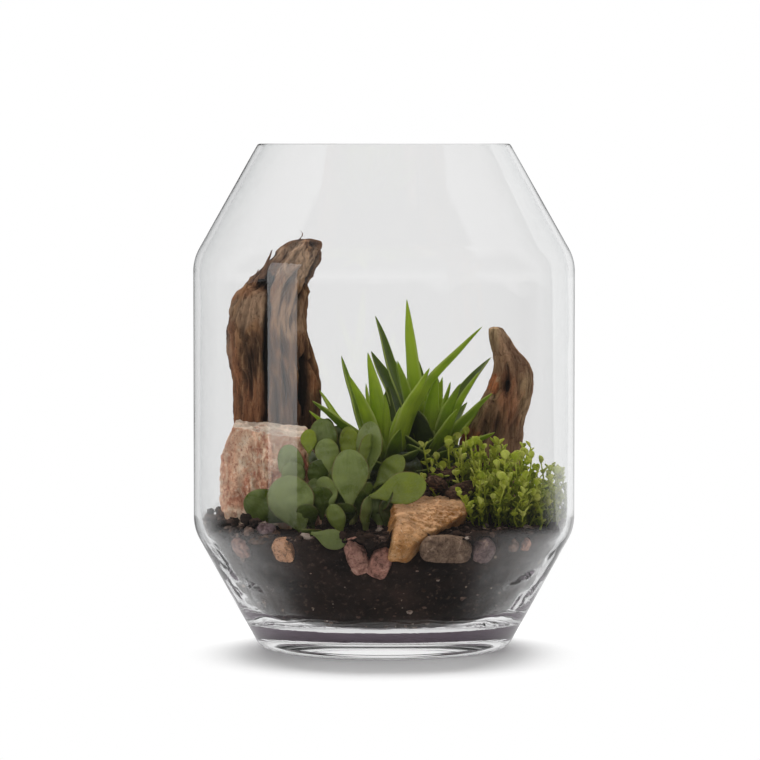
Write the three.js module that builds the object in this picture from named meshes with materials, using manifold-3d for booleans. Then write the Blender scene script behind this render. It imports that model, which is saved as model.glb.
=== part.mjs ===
// A planted glass terrarium: an open jar holding soil, driftwood, rocks and three kinds of plant.
// Units are millimetres and +Z is up. The origin is the middle of the jar's foot, on the table.
// +X is to the right and -Y is towards the viewer, so the driftwood stands at the back.
import * as THREE from 'three';
import { mergeVertices } from 'three/addons/utils/BufferGeometryUtils.js';
import Module from 'manifold-3d';

const wasm = await Module();
wasm.setup();

// ---- Driving dimensions ----

const jar = {
  height: 250,
  bodyRadius: 94.5,
  rimRadius: 62.4,
  footRadius: 61.5,
  lowerShoulder: 59.5, // height where the foot cone meets the straight body
  upperShoulder: 193, // height where the straight body meets the shoulder cone
  rimWall: 2.8,
  bodyWall: 3,
  footWall: 7, // measured level, at the jar's floor
  floor: 10, // thickness of the floor
  shoulderRounding: 6,
  footRounding: 4,
  floorRounding: 17,
  rimRounding: 1.1,
  lowerJoin: 67, // heights where the three parts of the glass meet
  upperJoin: 186,
  sides: 48,
};

const gap = 0.3; // air left between pieces that touch
const soil = {
  level: 60, // height of the soil at the glass
  moundHeight: 23,
  moundAt: [15, 4],
  moundSpread: [30, 34],
  rings: 6,
  edgeDrop: 1, // how far the top's outer ring stays inside the wall, and above the wall's rings
};

// ---- Small helpers ----

const degrees = THREE.MathUtils.degToRad;

// A closed skin over a stack of rings, each a list of points running the same way round,
// with one point closing each end of the stack.
function skin(rings, firstPoint, lastPoint) {
  const count = rings[0].length;
  const points = [firstPoint, ...rings.flat(), lastPoint];
  const last = points.length - 1;
  const faces = [];
  for (let side = 0; side < count; side += 1) {
    const next = (side + 1) % count;
    faces.push(0, 1 + next, 1 + side);
    for (let ring = 0; ring < rings.length - 1; ring += 1) {
      const low = 1 + ring * count;
      const high = low + count;
      faces.push(low + side, low + next, high + next);
      faces.push(low + side, high + next, high + side);
    }
    faces.push(last, last - count + side, last - count + next);
  }
  const geometry = new THREE.BufferGeometry().setFromPoints(points);
  geometry.setIndex(faces);
  return geometry;
}

// A geometry as a solid, moved to where its mesh stands
function toSolid(geometry, matrix) {
  const bare = geometry.clone().applyMatrix4(matrix);
  bare.deleteAttribute('normal');
  bare.deleteAttribute('uv');
  const merged = mergeVertices(bare, 1e-4);
  return new wasm.Manifold(
    new wasm.Mesh({
      numProp: 3,
      vertProperties: merged.attributes.position.array,
      triVerts: Uint32Array.from(merged.index.array),
    }),
  );
}

// A solid as a geometry, moved back into its mesh's own frame
function toGeometry(solid, matrix) {
  const mesh = solid.getMesh();
  const geometry = new THREE.BufferGeometry();
  geometry.setAttribute('position', new THREE.BufferAttribute(mesh.vertProperties, 3));
  geometry.setIndex(new THREE.BufferAttribute(mesh.triVerts, 1));
  geometry.applyMatrix4(matrix.clone().invert());
  geometry.computeVertexNormals();
  return geometry;
}

function material(color, roughness) {
  return new THREE.MeshStandardMaterial({ color, roughness, metalness: 0 });
}

// ---- Placing pieces ----

const terrarium = new THREE.Group();
const placed = []; // the room that each piece so far takes up, which is the piece and its gap

function boxesMeet(one, other) {
  const a = one.boundingBox();
  const b = other.boundingBox();
  return [0, 1, 2].every((axis) => a.min[axis] < b.max[axis] && b.min[axis] < a.max[axis]);
}

// Adds a piece whose shape(grow) makes it, or makes it bigger by grow all round. Where it would
// run into an earlier piece it is cut back, as leaves and stones press into each other, and of
// the bodies that leaves only the largest is kept.
function place(name, shape, finish, { at = [0, 0, 0], azimuth = 0, lean = 0, roll = 0 } = {}) {
  const stand = new THREE.Group();
  stand.position.set(...at);
  stand.rotation.z = degrees(azimuth);
  const mesh = new THREE.Mesh(shape(0), finish);
  mesh.name = name;
  mesh.rotation.set(0, degrees(lean), degrees(roll), 'YZX');
  stand.add(mesh);
  terrarium.add(stand);
  terrarium.updateMatrixWorld(true);
  let solid = toSolid(mesh.geometry, mesh.matrixWorld);
  for (const room of placed) {
    if (boxesMeet(solid, room) && !solid.intersect(room).isEmpty()) {
      solid = solid.subtract(room);
    }
  }
  const bodies = solid.decompose();
  bodies.sort((a, b) => b.volume() - a.volume());
  mesh.geometry = toGeometry(bodies[0], mesh.matrixWorld);
  placed.push(toSolid(shape(gap), mesh.matrixWorld));
}

// ---- Glass jar ----

// An outline through corners of [radius, height, rounding], each corner rounded by that length
function roundedOutline(corners) {
  const points = corners.map(([radius, height]) => new THREE.Vector2(radius, height));
  const path = new THREE.Path().moveTo(points[0].x, points[0].y);
  for (let index = 1; index < corners.length - 1; index += 1) {
    const corner = points[index];
    const rounding = corners[index][2];
    const before = corner.clone().sub(points[index - 1]).setLength(rounding);
    const after = points[index + 1].clone().sub(corner).setLength(rounding);
    path.lineTo(corner.x - before.x, corner.y - before.y);
    path.quadraticCurveTo(corner.x, corner.y, corner.x + after.x, corner.y + after.y);
  }
  const end = points[points.length - 1];
  path.lineTo(end.x, end.y);
  return path.getPoints(3);
}

// The inner wall from the rim down to the middle of the floor, moved inwards by grow
function innerWall(grow) {
  const floorRadius = jar.footRadius + (jar.floor / jar.lowerShoulder) * (jar.bodyRadius - jar.footRadius);
  return [
    [jar.rimRadius - jar.rimWall - grow, jar.height, jar.rimRounding],
    [jar.bodyRadius - jar.bodyWall - grow, jar.upperShoulder - 1, jar.shoulderRounding],
    [jar.bodyRadius - jar.bodyWall - grow, jar.lowerShoulder + 1, jar.shoulderRounding],
    [floorRadius - jar.footWall - grow, jar.floor + grow, jar.floorRounding],
    [0, jar.floor + grow, 0],
  ];
}

// The part of the glass between two heights. The jar is one piece of glass, given as three parts
// that meet face to face, so that each part's collision pieces follow its own wall.
function jarShape(low, high) {
  return (grow) => {
    const outerWall = [
      [0, 0, 0],
      [jar.footRadius, 0, jar.footRounding],
      [jar.bodyRadius, jar.lowerShoulder, jar.shoulderRounding],
      [jar.bodyRadius, jar.upperShoulder, jar.shoulderRounding],
      [jar.rimRadius, jar.height, jar.rimRounding],
    ];
    const outline = roundedOutline([...outerWall, ...innerWall(grow)]);
    const glass = new THREE.LatheGeometry(outline, jar.sides).rotateX(Math.PI / 2);
    const stay = new THREE.Matrix4();
    const slab = wasm.Manifold.cube([3 * jar.bodyRadius, 3 * jar.bodyRadius, high - low], true);
    return toGeometry(toSolid(glass, stay).intersect(slab.translate([0, 0, (low + high) / 2])), stay);
  };
}

// ---- Stones and bark ----

// A stone is the space inside a set of flat faces, each [x, y, z, distance]: the way the face
// looks and how far it is from the middle. sharpness says how crisp the edges between them are.
function stoneShape(faces, sharpness, detail) {
  return (grow) => {
    const geometry = new THREE.IcosahedronGeometry(1, detail);
    const corners = geometry.attributes.position;
    const ray = new THREE.Vector3();
    for (let index = 0; index < corners.count; index += 1) {
      ray.fromBufferAttribute(corners, index);
      let closeness = 0;
      for (const [x, y, z, distance] of faces) {
        const slope = (ray.x * x + ray.y * y + ray.z * z) / Math.hypot(x, y, z);
        closeness += Math.max(0, slope / (distance + grow)) ** sharpness;
      }
      ray.multiplyScalar(closeness ** (-1 / sharpness));
      corners.setXYZ(index, ray.x, ray.y, ray.z);
    }
    return geometry;
  };
}

const redRockFaces = [
  [-1, 0, 0.05, 21],
  [-0.93, 0, 0.36, 23.5],
  [-0.93, 0.1, -0.37, 23],
  [0.1, -0.22, 0.96, 25.5],
  [0.1, 0.5, 0.86, 27],
  [0.97, -0.1, 0.2, 25],
  [-0.1, -0.98, 0.12, 15],
  [-0.75, -0.66, 0, 24],
  [0, 1, 0, 15],
  [-0.5, 0.85, 0, 22],
  [0, 0, -1, 32],
];

const tanRockFaces = [
  [0, -0.19, 0.98, 17.3],
  [0.42, -0.59, 0.69, 17.2],
  [0.3, -0.61, 0.74, 17],
  [0.73, -0.39, -0.56, 6.6],
  [0.95, 0.2, 0.1, 22],
  [-0.99, -0.1, 0, 18],
  [0, 1, 0.1, 19],
  [0, 0.3, -0.95, 15],
];

// Pebbles, each with its middle, its half sizes along its own axes and how it is turned
const pebbles = {
  pebble_pink_left: { at: [-13, -83, 53.5], half: [5, 5, 9], azimuth: 0, lean: -22 },
  pebble_pink_right: { at: [-1.5, -80.5, 51], half: [5.4, 5, 8.4], azimuth: 0, lean: 24 },
  pebble_flat_brown: { at: [29.5, -81.5, 56.5], half: [13, 6, 6.4], azimuth: 20, lean: 4 },
  pebble_purple: { at: [48, -73.5, 55.5], half: [6, 5, 6], azimuth: 33, lean: 10 },
  pebble_orange: { at: [-48.5, -73.5, 55.5], half: [5.6, 5, 5.8], azimuth: -33, lean: 0 },
  pebble_rosy: { at: [-69, -54, 55], half: [5.4, 5, 4.8], azimuth: -50, lean: 0 },
};

// Bark pieces lying half in the soil
const barkPieces = {
  bark_left: { at: [-80.5, 0, 63.5], half: [4, 10, 5.5], azimuth: 6, lean: 24 },
  bark_front: { at: [-57, -61, 60], half: [8, 4, 3.4], azimuth: -25, lean: -16 },
  bark_middle: { at: [30, -27, 78.5], half: [9, 5.5, 4.2], azimuth: 20, lean: 14 },
};

// How far a pebble's corner faces stand out, against the corner of the box round it, and how
// much they differ from one another
const pebbleCorner = { reach: 0.68, skew: 0.06, topHeavy: 0.05 };

// A pebble's faces: six across its half sizes and eight across its corners
function pebbleFaces([across, deep, high]) {
  const faces = [
    [1, 0, 0, across],
    [-1, 0, 0, across],
    [0, 1, 0, deep],
    [0, -1, 0, deep],
    [0, 0, 1, high],
    [0, 0, -1, high],
  ];
  const corner = Math.hypot(across, deep, high) * pebbleCorner.reach;
  for (const x of [-1, 1]) {
    for (const y of [-1, 1]) {
      for (const z of [-1, 1]) {
        const uneven = 1 + pebbleCorner.skew * x * y - pebbleCorner.topHeavy * z;
        faces.push([x / across, y / deep, z / high, corner * uneven]);
      }
    }
  }
  return faces;
}

// ---- Driftwood ----

// Each driftwood stands on a list of cuts, [height, middle x, middle y, half width, half depth]
const tallCuts = [
  [52, -54, 14, 19, 15],
  [80, -54, 14, 20.5, 16],
  [106, -54, 14, 21.3, 16.5],
  [131, -54.5, 13, 21.9, 17],
  [150, -57.7, 12, 21.2, 16.5],
  [160, -58.4, 11, 19.5, 15],
  [170, -56.4, 11, 18, 14],
  [181, -52.7, 10, 16.2, 12.5],
  [188, -48.5, 9, 14.5, 11],
  [195, -43, 8, 12, 9],
  [199, -39.5, 8, 8.5, 6],
];
const shortCuts = [
  [52, 51.5, 20, 15.5, 12],
  [87, 52.3, 20, 16.6, 13],
  [102, 54.2, 19, 15.9, 12.5],
  [110, 56.3, 18, 14.5, 11.5],
  [122, 61, 17, 12.9, 10.5],
  [129, 63.4, 17, 11.8, 9.5],
  [136, 64.8, 17, 10.1, 8.5],
  [143, 62.7, 17, 7.9, 7],
  [148, 60, 17, 6.3, 5.6],
  [153, 57.8, 17, 5.3, 4.6],
  [157.5, 56, 17, 3.4, 3],
];

// Ribs run up the grain: how many there are, how deep the grooves between them are as a share
// of the radius, how fast they wind round per millimetre, and how near the left and right
// edges they fade out, so that the outline keeps its width
const tallGrain = { ribs: 7, depth: 0.16, winding: 0.03, fade: 0.9 };
const shortGrain = { ribs: 6, depth: 0.14, winding: 0.03, fade: 0.9 };

// Rings round the cuts, closed below by a low point and above by a rounded tip
function driftwoodShape(cuts, grain, sides) {
  return (grow) => {
    const rings = cuts.map(([height, x, y, halfWidth, halfDepth]) => {
      const ring = [];
      for (let side = 0; side < sides; side += 1) {
        const angle = (side / sides) * Math.PI * 2;
        const wave = Math.cos(grain.ribs * angle + height * grain.winding);
        const groove = 1 - (grain.depth * (1 - wave)) / 2;
        const onEdge = Math.abs(Math.cos(angle)) > grain.fade;
        const across = halfWidth * (onEdge ? 1 : groove) + grow;
        const deep = halfDepth * groove + grow;
        ring.push(new THREE.Vector3(x + Math.cos(angle) * across, y + Math.sin(angle) * deep, height));
      }
      return ring;
    });
    const [lowHeight, lowX, lowY] = cuts[0];
    const [topHeight, topX, topY, topHalfWidth] = cuts[cuts.length - 1];
    const foot = new THREE.Vector3(lowX, lowY, lowHeight - 1 - grow);
    const tip = new THREE.Vector3(topX, topY, topHeight + topHalfWidth * 0.3 + grow);
    return skin(rings, foot, tip);
  };
}

// ---- Leaves ----

const leafCuts = [0, 0.15, 0.32, 0.5, 0.68, 0.84, 0.95];
const leafSides = 6;

// Half width of a pointed leaf: full near the base, drawn out to a fine tip
function pointedHalfWidth(along, width) {
  const toTip = Math.min(1, (1 - along) / 0.8);
  const base = Math.min(1, 0.72 + 1.4 * along);
  return (width / 2) * base * (1 - (1 - toTip) ** 2) ** 0.85;
}

// Half width of a round leaf: a narrow stalk that opens into a blade, widest well up, with a round end
const roundBlade = { broadest: 0.6, stalk: 0.16 };
function roundHalfWidth(along, width) {
  const { broadest, stalk } = roundBlade;
  if (along < broadest) {
    const opening = 0.5 - 0.5 * Math.cos((Math.PI * along) / broadest);
    return (width / 2) * (stalk + (1 - stalk) * opening);
  }
  return (width / 2) * Math.sqrt(1 - ((along - broadest) / (1 - broadest)) ** 2);
}

// A leaf grows up +Z and arches towards +X, so its upper face looks towards -X. reach is the
// straight distance from base to tip, and arch is the angle between that line and its start.
function leafShape({ reach, arch = 0, width, thickness, cup = 0.2, halfWidth }) {
  return (grow) => {
    const rise = reach * Math.cos(degrees(arch));
    const drift = reach * Math.sin(degrees(arch));
    const rings = leafCuts.map((along) => {
      const slope = Math.atan2(2 * drift * along, rise);
      const across = halfWidth(along, width);
      const through = (thickness / 2) * Math.sqrt(1 - along ** 3) + 0.15;
      const ring = [];
      for (let side = 0; side < leafSides; side += 1) {
        const angle = (side / leafSides) * Math.PI * 2;
        const outwards = Math.cos(angle) * (through + grow) - cup * across * Math.sin(angle) ** 2;
        ring.push(
          new THREE.Vector3(
            drift * along ** 2 + outwards * Math.cos(slope),
            Math.sin(angle) * (across + grow),
            rise * along - outwards * Math.sin(slope),
          ),
        );
      }
      return ring;
    });
    const base = new THREE.Vector3(0, 0, -0.4 - grow);
    const tip = new THREE.Vector3(drift, 0, rise + grow);
    return skin(rings, base, tip);
  };
}

// ---- Stems ----

const stemCuts = 22;
const stemSides = 10;

// A round stem of one radius along a smooth curve through some points
function stemShape({ path, radius }) {
  const points = path.map((point) => new THREE.Vector3(...point));
  const curve = new THREE.CatmullRomCurve3(points, false, 'centripetal');
  return (grow) => {
    const middles = curve.getSpacedPoints(stemCuts);
    const { tangents, normals, binormals } = curve.computeFrenetFrames(stemCuts);
    const rings = middles.map((middle, cut) => {
      const ring = [];
      for (let side = 0; side < stemSides; side += 1) {
        const angle = (side / stemSides) * Math.PI * 2;
        const across = normals[cut].clone().multiplyScalar(Math.cos(angle) * (radius + grow));
        const deep = binormals[cut].clone().multiplyScalar(Math.sin(angle) * (radius + grow));
        ring.push(middle.clone().add(across).add(deep));
      }
      return ring;
    });
    const end = radius / 2 + grow;
    const first = middles[0].clone().addScaledVector(tangents[0], -end);
    const last = middles[stemCuts].clone().addScaledVector(tangents[stemCuts], end);
    return skin(rings, first, last);
  };
}

// ---- Pointed rosette plant ----

// How far leaf bases stand out from the middle of the crown, and how low under its top
const leafBase = { outwards: 4.2, belowTop: 2, dropPerDegree: 0.16 };

const crowns = {
  left: { at: [2, -12], top: 96 },
  right: { at: [22, 3], top: 98 },
};

// The crowns stand on one rootstock that dips under the soil between them
const rootstock = {
  path: [[2, -12, 96], [2, -12, 82], [5, -9.8, 76.5], [19, 0.8, 76.5], [22, 3, 82], [22, 3, 98]],
  radius: 2.2,
};

// Each leaf is [azimuth, lean, reach, arch, width]. Azimuth 0 is to the right and 90 to the back,
// and lean is measured from upright. Inner leaves come first.
const rosetteLeaves = {
  left: [
    [320, 24, 55, 12, 12],
    [232, 12, 57, 3, 11],
    [222, 25, 52, 5, 11.5],
    [148, 22, 59, -12, 9],
    [335, 33, 86, 22, 12],
    [215, 47, 56, 14, 12.5],
    [150, 42, 54, 0, 8],
    [205, 49, 51, 5, 9.5],
  ],
  right: [
    [220, 7, 79, -5, 12],
    [110, 17, 55, 0, 11],
    [250, 9, 40, 0, 10],
    [315, 23, 43, 3, 11.5],
    [60, 14, 41, 0, 8],
    [225, 19, 53, 0, 10],
    [145, 22, 77, 6, 12],
    [245, 22, 29, 0, 17],
    [140, 31, 64, 0, 17],
    [38, 35, 64, 20, 14],
    [335, 39, 48, 12, 12],
    [22, 40, 43, 5, 9],
    [325, 58, 41, 8, 11],
    [268, 62, 20, 0, 15],
  ],
};

// ---- Round-leaved succulent ----

// One stem forks just under the soil, with a short branch on the left and a tall one on the right
const succulentStem = {
  path: [
    [-41, -50, 78],
    [-38.5, -50, 63],
    [-35, -49.4, 57.5],
    [-19, -46.6, 57.5],
    [-16, -46, 63],
    [-15, -44, 94],
  ],
  radius: 1.8,
};

// Each leaf is its base point and then [azimuth, lean, roll, reach, width]
const succulentLeaves = [
  { base: [-16.5, -58, 73], pose: [270, 8, 0], reach: 30, width: 18 },
  { base: [-38.5, -57, 60], pose: [180, 20, 80], reach: 31, width: 23 },
  { base: [-44, -46, 66], pose: [180, 62, 75], reach: 26, width: 18 },
  { base: [-42, -45, 79], pose: [200, 12, 80], reach: 17, width: 12 },
  { base: [-35, -39, 84], pose: [110, 8, 0], reach: 17, width: 13 },
  { base: [-34, -46, 68], pose: [40, 10, 50], reach: 20, width: 12 },
  { base: [-26, -33, 88], pose: [120, 8, 20], reach: 28, width: 13 },
  { base: [-24, -41, 82], pose: [230, 14, 40], reach: 20, width: 13 },
  { base: [-18, -34, 95], pose: [60, 5, 60], reach: 17, width: 11 },
  { base: [-8, -42, 87], pose: [350, 4, 70], reach: 28, width: 15 },
  { base: [-5, -38, 82], pose: [0, 42, 75], reach: 21, width: 11 },
  { base: [-7, -54, 79], pose: [0, 76, 85], reach: 28, width: 16 },
  { base: [-27, -52, 69], pose: [190, 6, 50], reach: 20, width: 13 },
  { base: [-20, -60, 60], pose: [200, 18, 60], reach: 17, width: 9 },
  { base: [-9, -55, 60], pose: [300, 8, 30], reach: 20, width: 11 },
  { base: [-24, -66, 60.5], pose: [200, 78, 20], reach: 17, width: 10 },
  { base: [-35, -33, 74], pose: [120, 5, 0], reach: 22, width: 13 },
  { base: [-2, -45, 63], pose: [20, 14, 60], reach: 22, width: 12 },
];

// ---- Creeping sprouts ----

const sproutFaces = [
  [-1, 0.1, 0.1, 27],
  [-0.7, -0.6, 0.3, 27],
  [0, -1, 0.15, 28],
  [0.6, -0.75, 0, 27],
  [1, 0, 0.1, 27],
  [0.85, 0, 0.5, 28],
  [0.6, 0.7, 0.3, 27],
  [0, 1, 0.2, 24],
  [-0.4, 0.1, 0.91, 19],
  [0.2, -0.2, 0.95, 23],
  [0, 0, -1, 24],
];

// ---- Potting soil ----

// The soil's surface is level at the glass and rises to a mound under the rosettes
function soilTop(x, y) {
  const across = (x - soil.moundAt[0]) / soil.moundSpread[0];
  const deep = (y - soil.moundAt[1]) / soil.moundSpread[1];
  return soil.level + soil.moundHeight * Math.exp(-(across ** 2 + deep ** 2) / 2);
}

// Rings run from the middle of the top out to the glass, down it and in along the floor
function soilShape() {
  const wall = roundedOutline(innerWall(gap)).filter(({ y }) => y < soil.level - soil.edgeDrop);
  const sideAt = (side) => (side / jar.sides) * Math.PI * 2;
  const topRadius = jar.bodyRadius - jar.bodyWall - gap - soil.edgeDrop;
  const rings = [];
  for (let step = 1; step <= soil.rings; step += 1) {
    const ring = [];
    for (let side = 0; side < jar.sides; side += 1) {
      const x = Math.cos(sideAt(side)) * topRadius * (step / soil.rings);
      const y = Math.sin(sideAt(side)) * topRadius * (step / soil.rings);
      ring.push(new THREE.Vector3(x, y, soilTop(x, y)));
    }
    rings.push(ring);
  }
  for (const { x: radius, y: height } of wall.slice(0, -1)) {
    const ring = [];
    for (let side = 0; side < jar.sides; side += 1) {
      const angle = sideAt(side);
      ring.push(new THREE.Vector3(Math.cos(angle) * radius, Math.sin(angle) * radius, height));
    }
    rings.push(ring);
  }
  const middle = new THREE.Vector3(0, 0, soilTop(0, 0));
  const under = new THREE.Vector3(0, 0, jar.floor + gap);
  return skin(rings.map((ring) => ring.reverse()), middle, under);
}

// ---- The terrarium ----

const glass = new THREE.MeshStandardMaterial({
  color: 0xeef2f2,
  roughness: 0.02,
  metalness: 0,
  transparent: true,
  opacity: 0.25,
});

place('glass_foot', jarShape(-1, jar.lowerJoin), glass);
place('glass_body', jarShape(jar.lowerJoin, jar.upperJoin), glass);
place('glass_shoulder', jarShape(jar.upperJoin, jar.height + 1), glass);

place('red_rock', stoneShape(redRockFaces, 40, 3), material(0xb98070, 0.85), { at: [-59, -18, 86] });
place('tan_rock', stoneShape(tanRockFaces, 26, 3), material(0xb07c48, 0.85), { at: [20, -57, 58] });
for (const [name, { at, half, azimuth, lean }] of Object.entries(pebbles)) {
  place(name, stoneShape(pebbleFaces(half), 7, 1), material(0x8a6458, 0.9), { at, azimuth, lean });
}
place('driftwood_tall', driftwoodShape(tallCuts, tallGrain, 18), material(0x8c6a4e, 0.9));
place('driftwood_short', driftwoodShape(shortCuts, shortGrain, 16), material(0x97765a, 0.9));
for (const [name, { at, half, azimuth, lean }] of Object.entries(barkPieces)) {
  place(name, stoneShape(pebbleFaces(half), 14, 1), material(0x3c2c24, 0.95), { at, azimuth, lean });
}

const rosetteGreen = material(0x4f7a22, 0.45);
place('rosette_crowns', stemShape(rootstock), rosetteGreen);
for (const [side, leaves] of Object.entries(rosetteLeaves)) {
  const { at, top } = crowns[side];
  leaves.forEach(([azimuth, lean, reach, arch, width], index) => {
    const number = String(index + 1).padStart(2, '0');
    const base = [
      at[0] + leafBase.outwards * Math.cos(degrees(azimuth)),
      at[1] + leafBase.outwards * Math.sin(degrees(azimuth)),
      top - leafBase.belowTop - leafBase.dropPerDegree * lean,
    ];
    const shape = leafShape({ reach, arch, width, thickness: 3, cup: 0.3, halfWidth: pointedHalfWidth });
    place(`rosette_leaf_${side}_${number}`, shape, rosetteGreen, { at: base, azimuth, lean: lean - arch });
  });
}

const succulentGreen = material(0x6f8f5c, 0.5);
place('succulent_stem', stemShape(succulentStem), material(0x6d6a3c, 0.7));
succulentLeaves.forEach(({ base, pose: [azimuth, lean, roll], reach, width }, index) => {
  const number = String(index + 1).padStart(2, '0');
  const shape = leafShape({ reach, width, thickness: 1.7, cup: 0.12, halfWidth: roundHalfWidth });
  place(`succulent_leaf_${number}`, shape, succulentGreen, { at: base, azimuth, lean, roll });
});

place('creeping_sprouts', stoneShape(sproutFaces, 10, 3), material(0x7c8f3a, 0.7), { at: [58, -27, 78] });
place('potting_soil', soilShape, material(0x241a15, 0.95));

export default terrarium;
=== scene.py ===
import math

import bpy
import numpy as np
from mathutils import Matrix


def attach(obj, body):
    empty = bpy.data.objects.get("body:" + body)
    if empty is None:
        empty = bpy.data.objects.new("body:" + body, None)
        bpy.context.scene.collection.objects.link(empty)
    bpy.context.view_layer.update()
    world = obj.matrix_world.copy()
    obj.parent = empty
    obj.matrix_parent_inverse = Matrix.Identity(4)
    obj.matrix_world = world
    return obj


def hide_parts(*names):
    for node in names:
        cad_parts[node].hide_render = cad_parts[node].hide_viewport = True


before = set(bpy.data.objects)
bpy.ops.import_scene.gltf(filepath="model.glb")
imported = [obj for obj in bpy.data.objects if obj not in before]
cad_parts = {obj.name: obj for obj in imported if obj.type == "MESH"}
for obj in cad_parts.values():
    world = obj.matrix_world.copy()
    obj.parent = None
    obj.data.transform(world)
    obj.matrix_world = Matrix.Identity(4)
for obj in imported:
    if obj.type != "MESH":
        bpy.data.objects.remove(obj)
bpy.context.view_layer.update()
mm = 0.001  # sizes below are in millimetres, times mm
# random gradients stand on a lattice of that size; between them the value is eased in all three directions
def noiseAt(points, size, seed):
    cell = points / size
    base = np.floor(cell).astype(np.int64)
    local = cell - base
    ease = local ** 3 * (local * (local * 6 - 15) + 10)
    total = np.zeros(points.shape[:-1])
    for corner in range(8):
        step = np.array([corner & 1, corner >> 1 & 1, corner >> 2 & 1])
        key = base + step
        mix = key[..., 0] * 73856093 ^ key[..., 1] * 19349663 ^ key[..., 2] * 83492791 ^ seed * 1299721
        mix = (mix ^ mix >> 13) * 1274126177
        mix = mix ^ mix >> 16
        turn = (mix & 0xFFFF) / 0xFFFF * 2 * math.pi
        rise = (mix >> 16 & 0xFFFF) / 0xFFFF * 2 - 1
        flat = np.sqrt(1 - rise ** 2)
        away = local - step
        slope = flat * np.cos(turn) * away[..., 0] + flat * np.sin(turn) * away[..., 1] + rise * away[..., 2]
        total += np.prod(np.where(step == 1, ease, 1 - ease), axis=-1) * slope
    return total * 1.7


# layers of noise, each half the size and half the height of the one before
def layeredNoise(points, size, seed, layers=4):
    total = np.zeros(points.shape[:-1])
    for layer in range(layers):
        total += noiseAt(points, size / 2 ** layer, seed + layer * 17) / 2 ** layer
    return total


def smoothStep(low, high, value):
    part = np.clip((value - low) / (high - low), 0, 1)
    return part * part * (3 - 2 * part)


# a smooth curve through a table's values: cubic pieces whose slopes are those of the neighbours
def smoothTable(knots, values, at):
    slopes = np.gradient(values, knots)
    index = np.clip(np.searchsorted(knots, at) - 1, 0, len(knots) - 2)
    width = knots[index + 1] - knots[index]
    t = (at - knots[index]) / width
    low, high = values[index], values[index + 1]
    return ((1 + 2 * t) * (1 - t) ** 2 * low + t * (1 - t) ** 2 * width * slopes[index]
            + t ** 2 * (3 - 2 * t) * high + t ** 2 * (t - 1) * width * slopes[index + 1])


# puts points, four-sided and three-sided faces into a mesh object, with one float attribute for each field
def putMesh(name, points, quads, triangles, fields=None):
    mesh = bpy.data.meshes.new(name)
    points = np.asarray(points, dtype=np.float32).reshape(-1, 3)
    quads = np.asarray(quads, dtype=np.int32).reshape(-1, 4)
    triangles = np.asarray(triangles, dtype=np.int32).reshape(-1, 3)
    mesh.vertices.add(len(points))
    mesh.vertices.foreach_set("co", points.ravel())
    corners = np.concatenate([quads.ravel(), triangles.ravel()])
    starts = np.concatenate([np.arange(len(quads)) * 4, len(quads) * 4 + np.arange(len(triangles)) * 3])
    mesh.loops.add(len(corners))
    mesh.loops.foreach_set("vertex_index", corners)
    mesh.polygons.add(len(starts))
    mesh.polygons.foreach_set("loop_start", starts.astype(np.int32))
    mesh.update(calc_edges=True)
    for field, values in (fields or {}).items():
        attribute = mesh.attributes.new(field, "FLOAT", "POINT")
        attribute.data.foreach_set("value", np.asarray(values, dtype=np.float32).ravel())
    mesh.shade_smooth()
    piece = bpy.data.objects.new(name, mesh)
    bpy.context.scene.collection.objects.link(piece)
    return piece


# faces of a stack of closed rings, with a fan to the point that closes each end; rings rise to the
# right-hand rule
def ringFaces(rows, columns):
    row, column = np.meshgrid(np.arange(rows - 1), np.arange(columns), indexing="ij")
    far = (column + 1) % columns
    quads = np.stack([row * columns + column, row * columns + far,
                      (row + 1) * columns + far, (row + 1) * columns + column], axis=-1).reshape(-1, 4)
    side = np.arange(columns)
    nextSide = (side + 1) % columns
    lowPoint = np.full(columns, rows * columns)
    highPoint = lowPoint + 1
    last = (rows - 1) * columns
    fans = np.concatenate([np.stack([lowPoint, nextSide, side], axis=-1),
                           np.stack([highPoint, last + side, last + nextSide], axis=-1)])
    return quads, fans


# rings are rows x columns x 3; each end is closed by the mean of its ring unless a point is given
def ringSurface(name, rings, firstPoint=None, lastPoint=None, fields=None):
    rows, columns = rings.shape[:2]
    ends = [rings[0].mean(axis=0) if firstPoint is None else firstPoint,
            rings[-1].mean(axis=0) if lastPoint is None else lastPoint]
    points = np.concatenate([rings.reshape(-1, 3), np.array(ends)])
    quads, fans = ringFaces(rows, columns)
    closed = {}
    for field, values in (fields or {}).items():
        closed[field] = np.concatenate([values.ravel(), [values[0].mean(), values[-1].mean()]])
    return putMesh(name, points, quads, fans, closed)


# many shapes of the same rows and columns in one mesh: shapes x rows x columns x 3
def stackSurface(name, stack, fields=None):
    count, rows, columns = stack.shape[:3]
    ends = np.stack([stack[:, 0].mean(axis=1), stack[:, -1].mean(axis=1)], axis=1)
    points = np.concatenate([stack.reshape(count, -1, 3), ends], axis=1)
    quadTable, fanTable = ringFaces(rows, columns)
    offsets = np.arange(count)[:, None, None] * (rows * columns + 2)
    closed = {}
    for field, values in (fields or {}).items():
        values = np.broadcast_to(values, stack.shape[:3])
        fieldEnds = np.stack([values[:, 0].mean(axis=1), values[:, -1].mean(axis=1)], axis=1)
        closed[field] = np.concatenate([values.reshape(count, -1), fieldEnds], axis=1)
    return putMesh(name, points, quadTable[None] + offsets, fanTable[None] + offsets, closed)


def finishPiece(piece, material, slot, *nodes):
    piece.data.materials.clear()
    piece.data.materials.append(material)
    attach(piece, "root")
    if nodes:
        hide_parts(*nodes)
    return piece


# the linear color of a text such as "#a8644d"
def paint(text):
    channels = [int(text[place:place + 2], 16) / 255 for place in (1, 3, 5)]
    linear = [c / 12.92 if c <= 0.04045 else ((c + 0.055) / 1.055) ** 2.4 for c in channels]
    return (*linear, 1.0)


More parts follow.
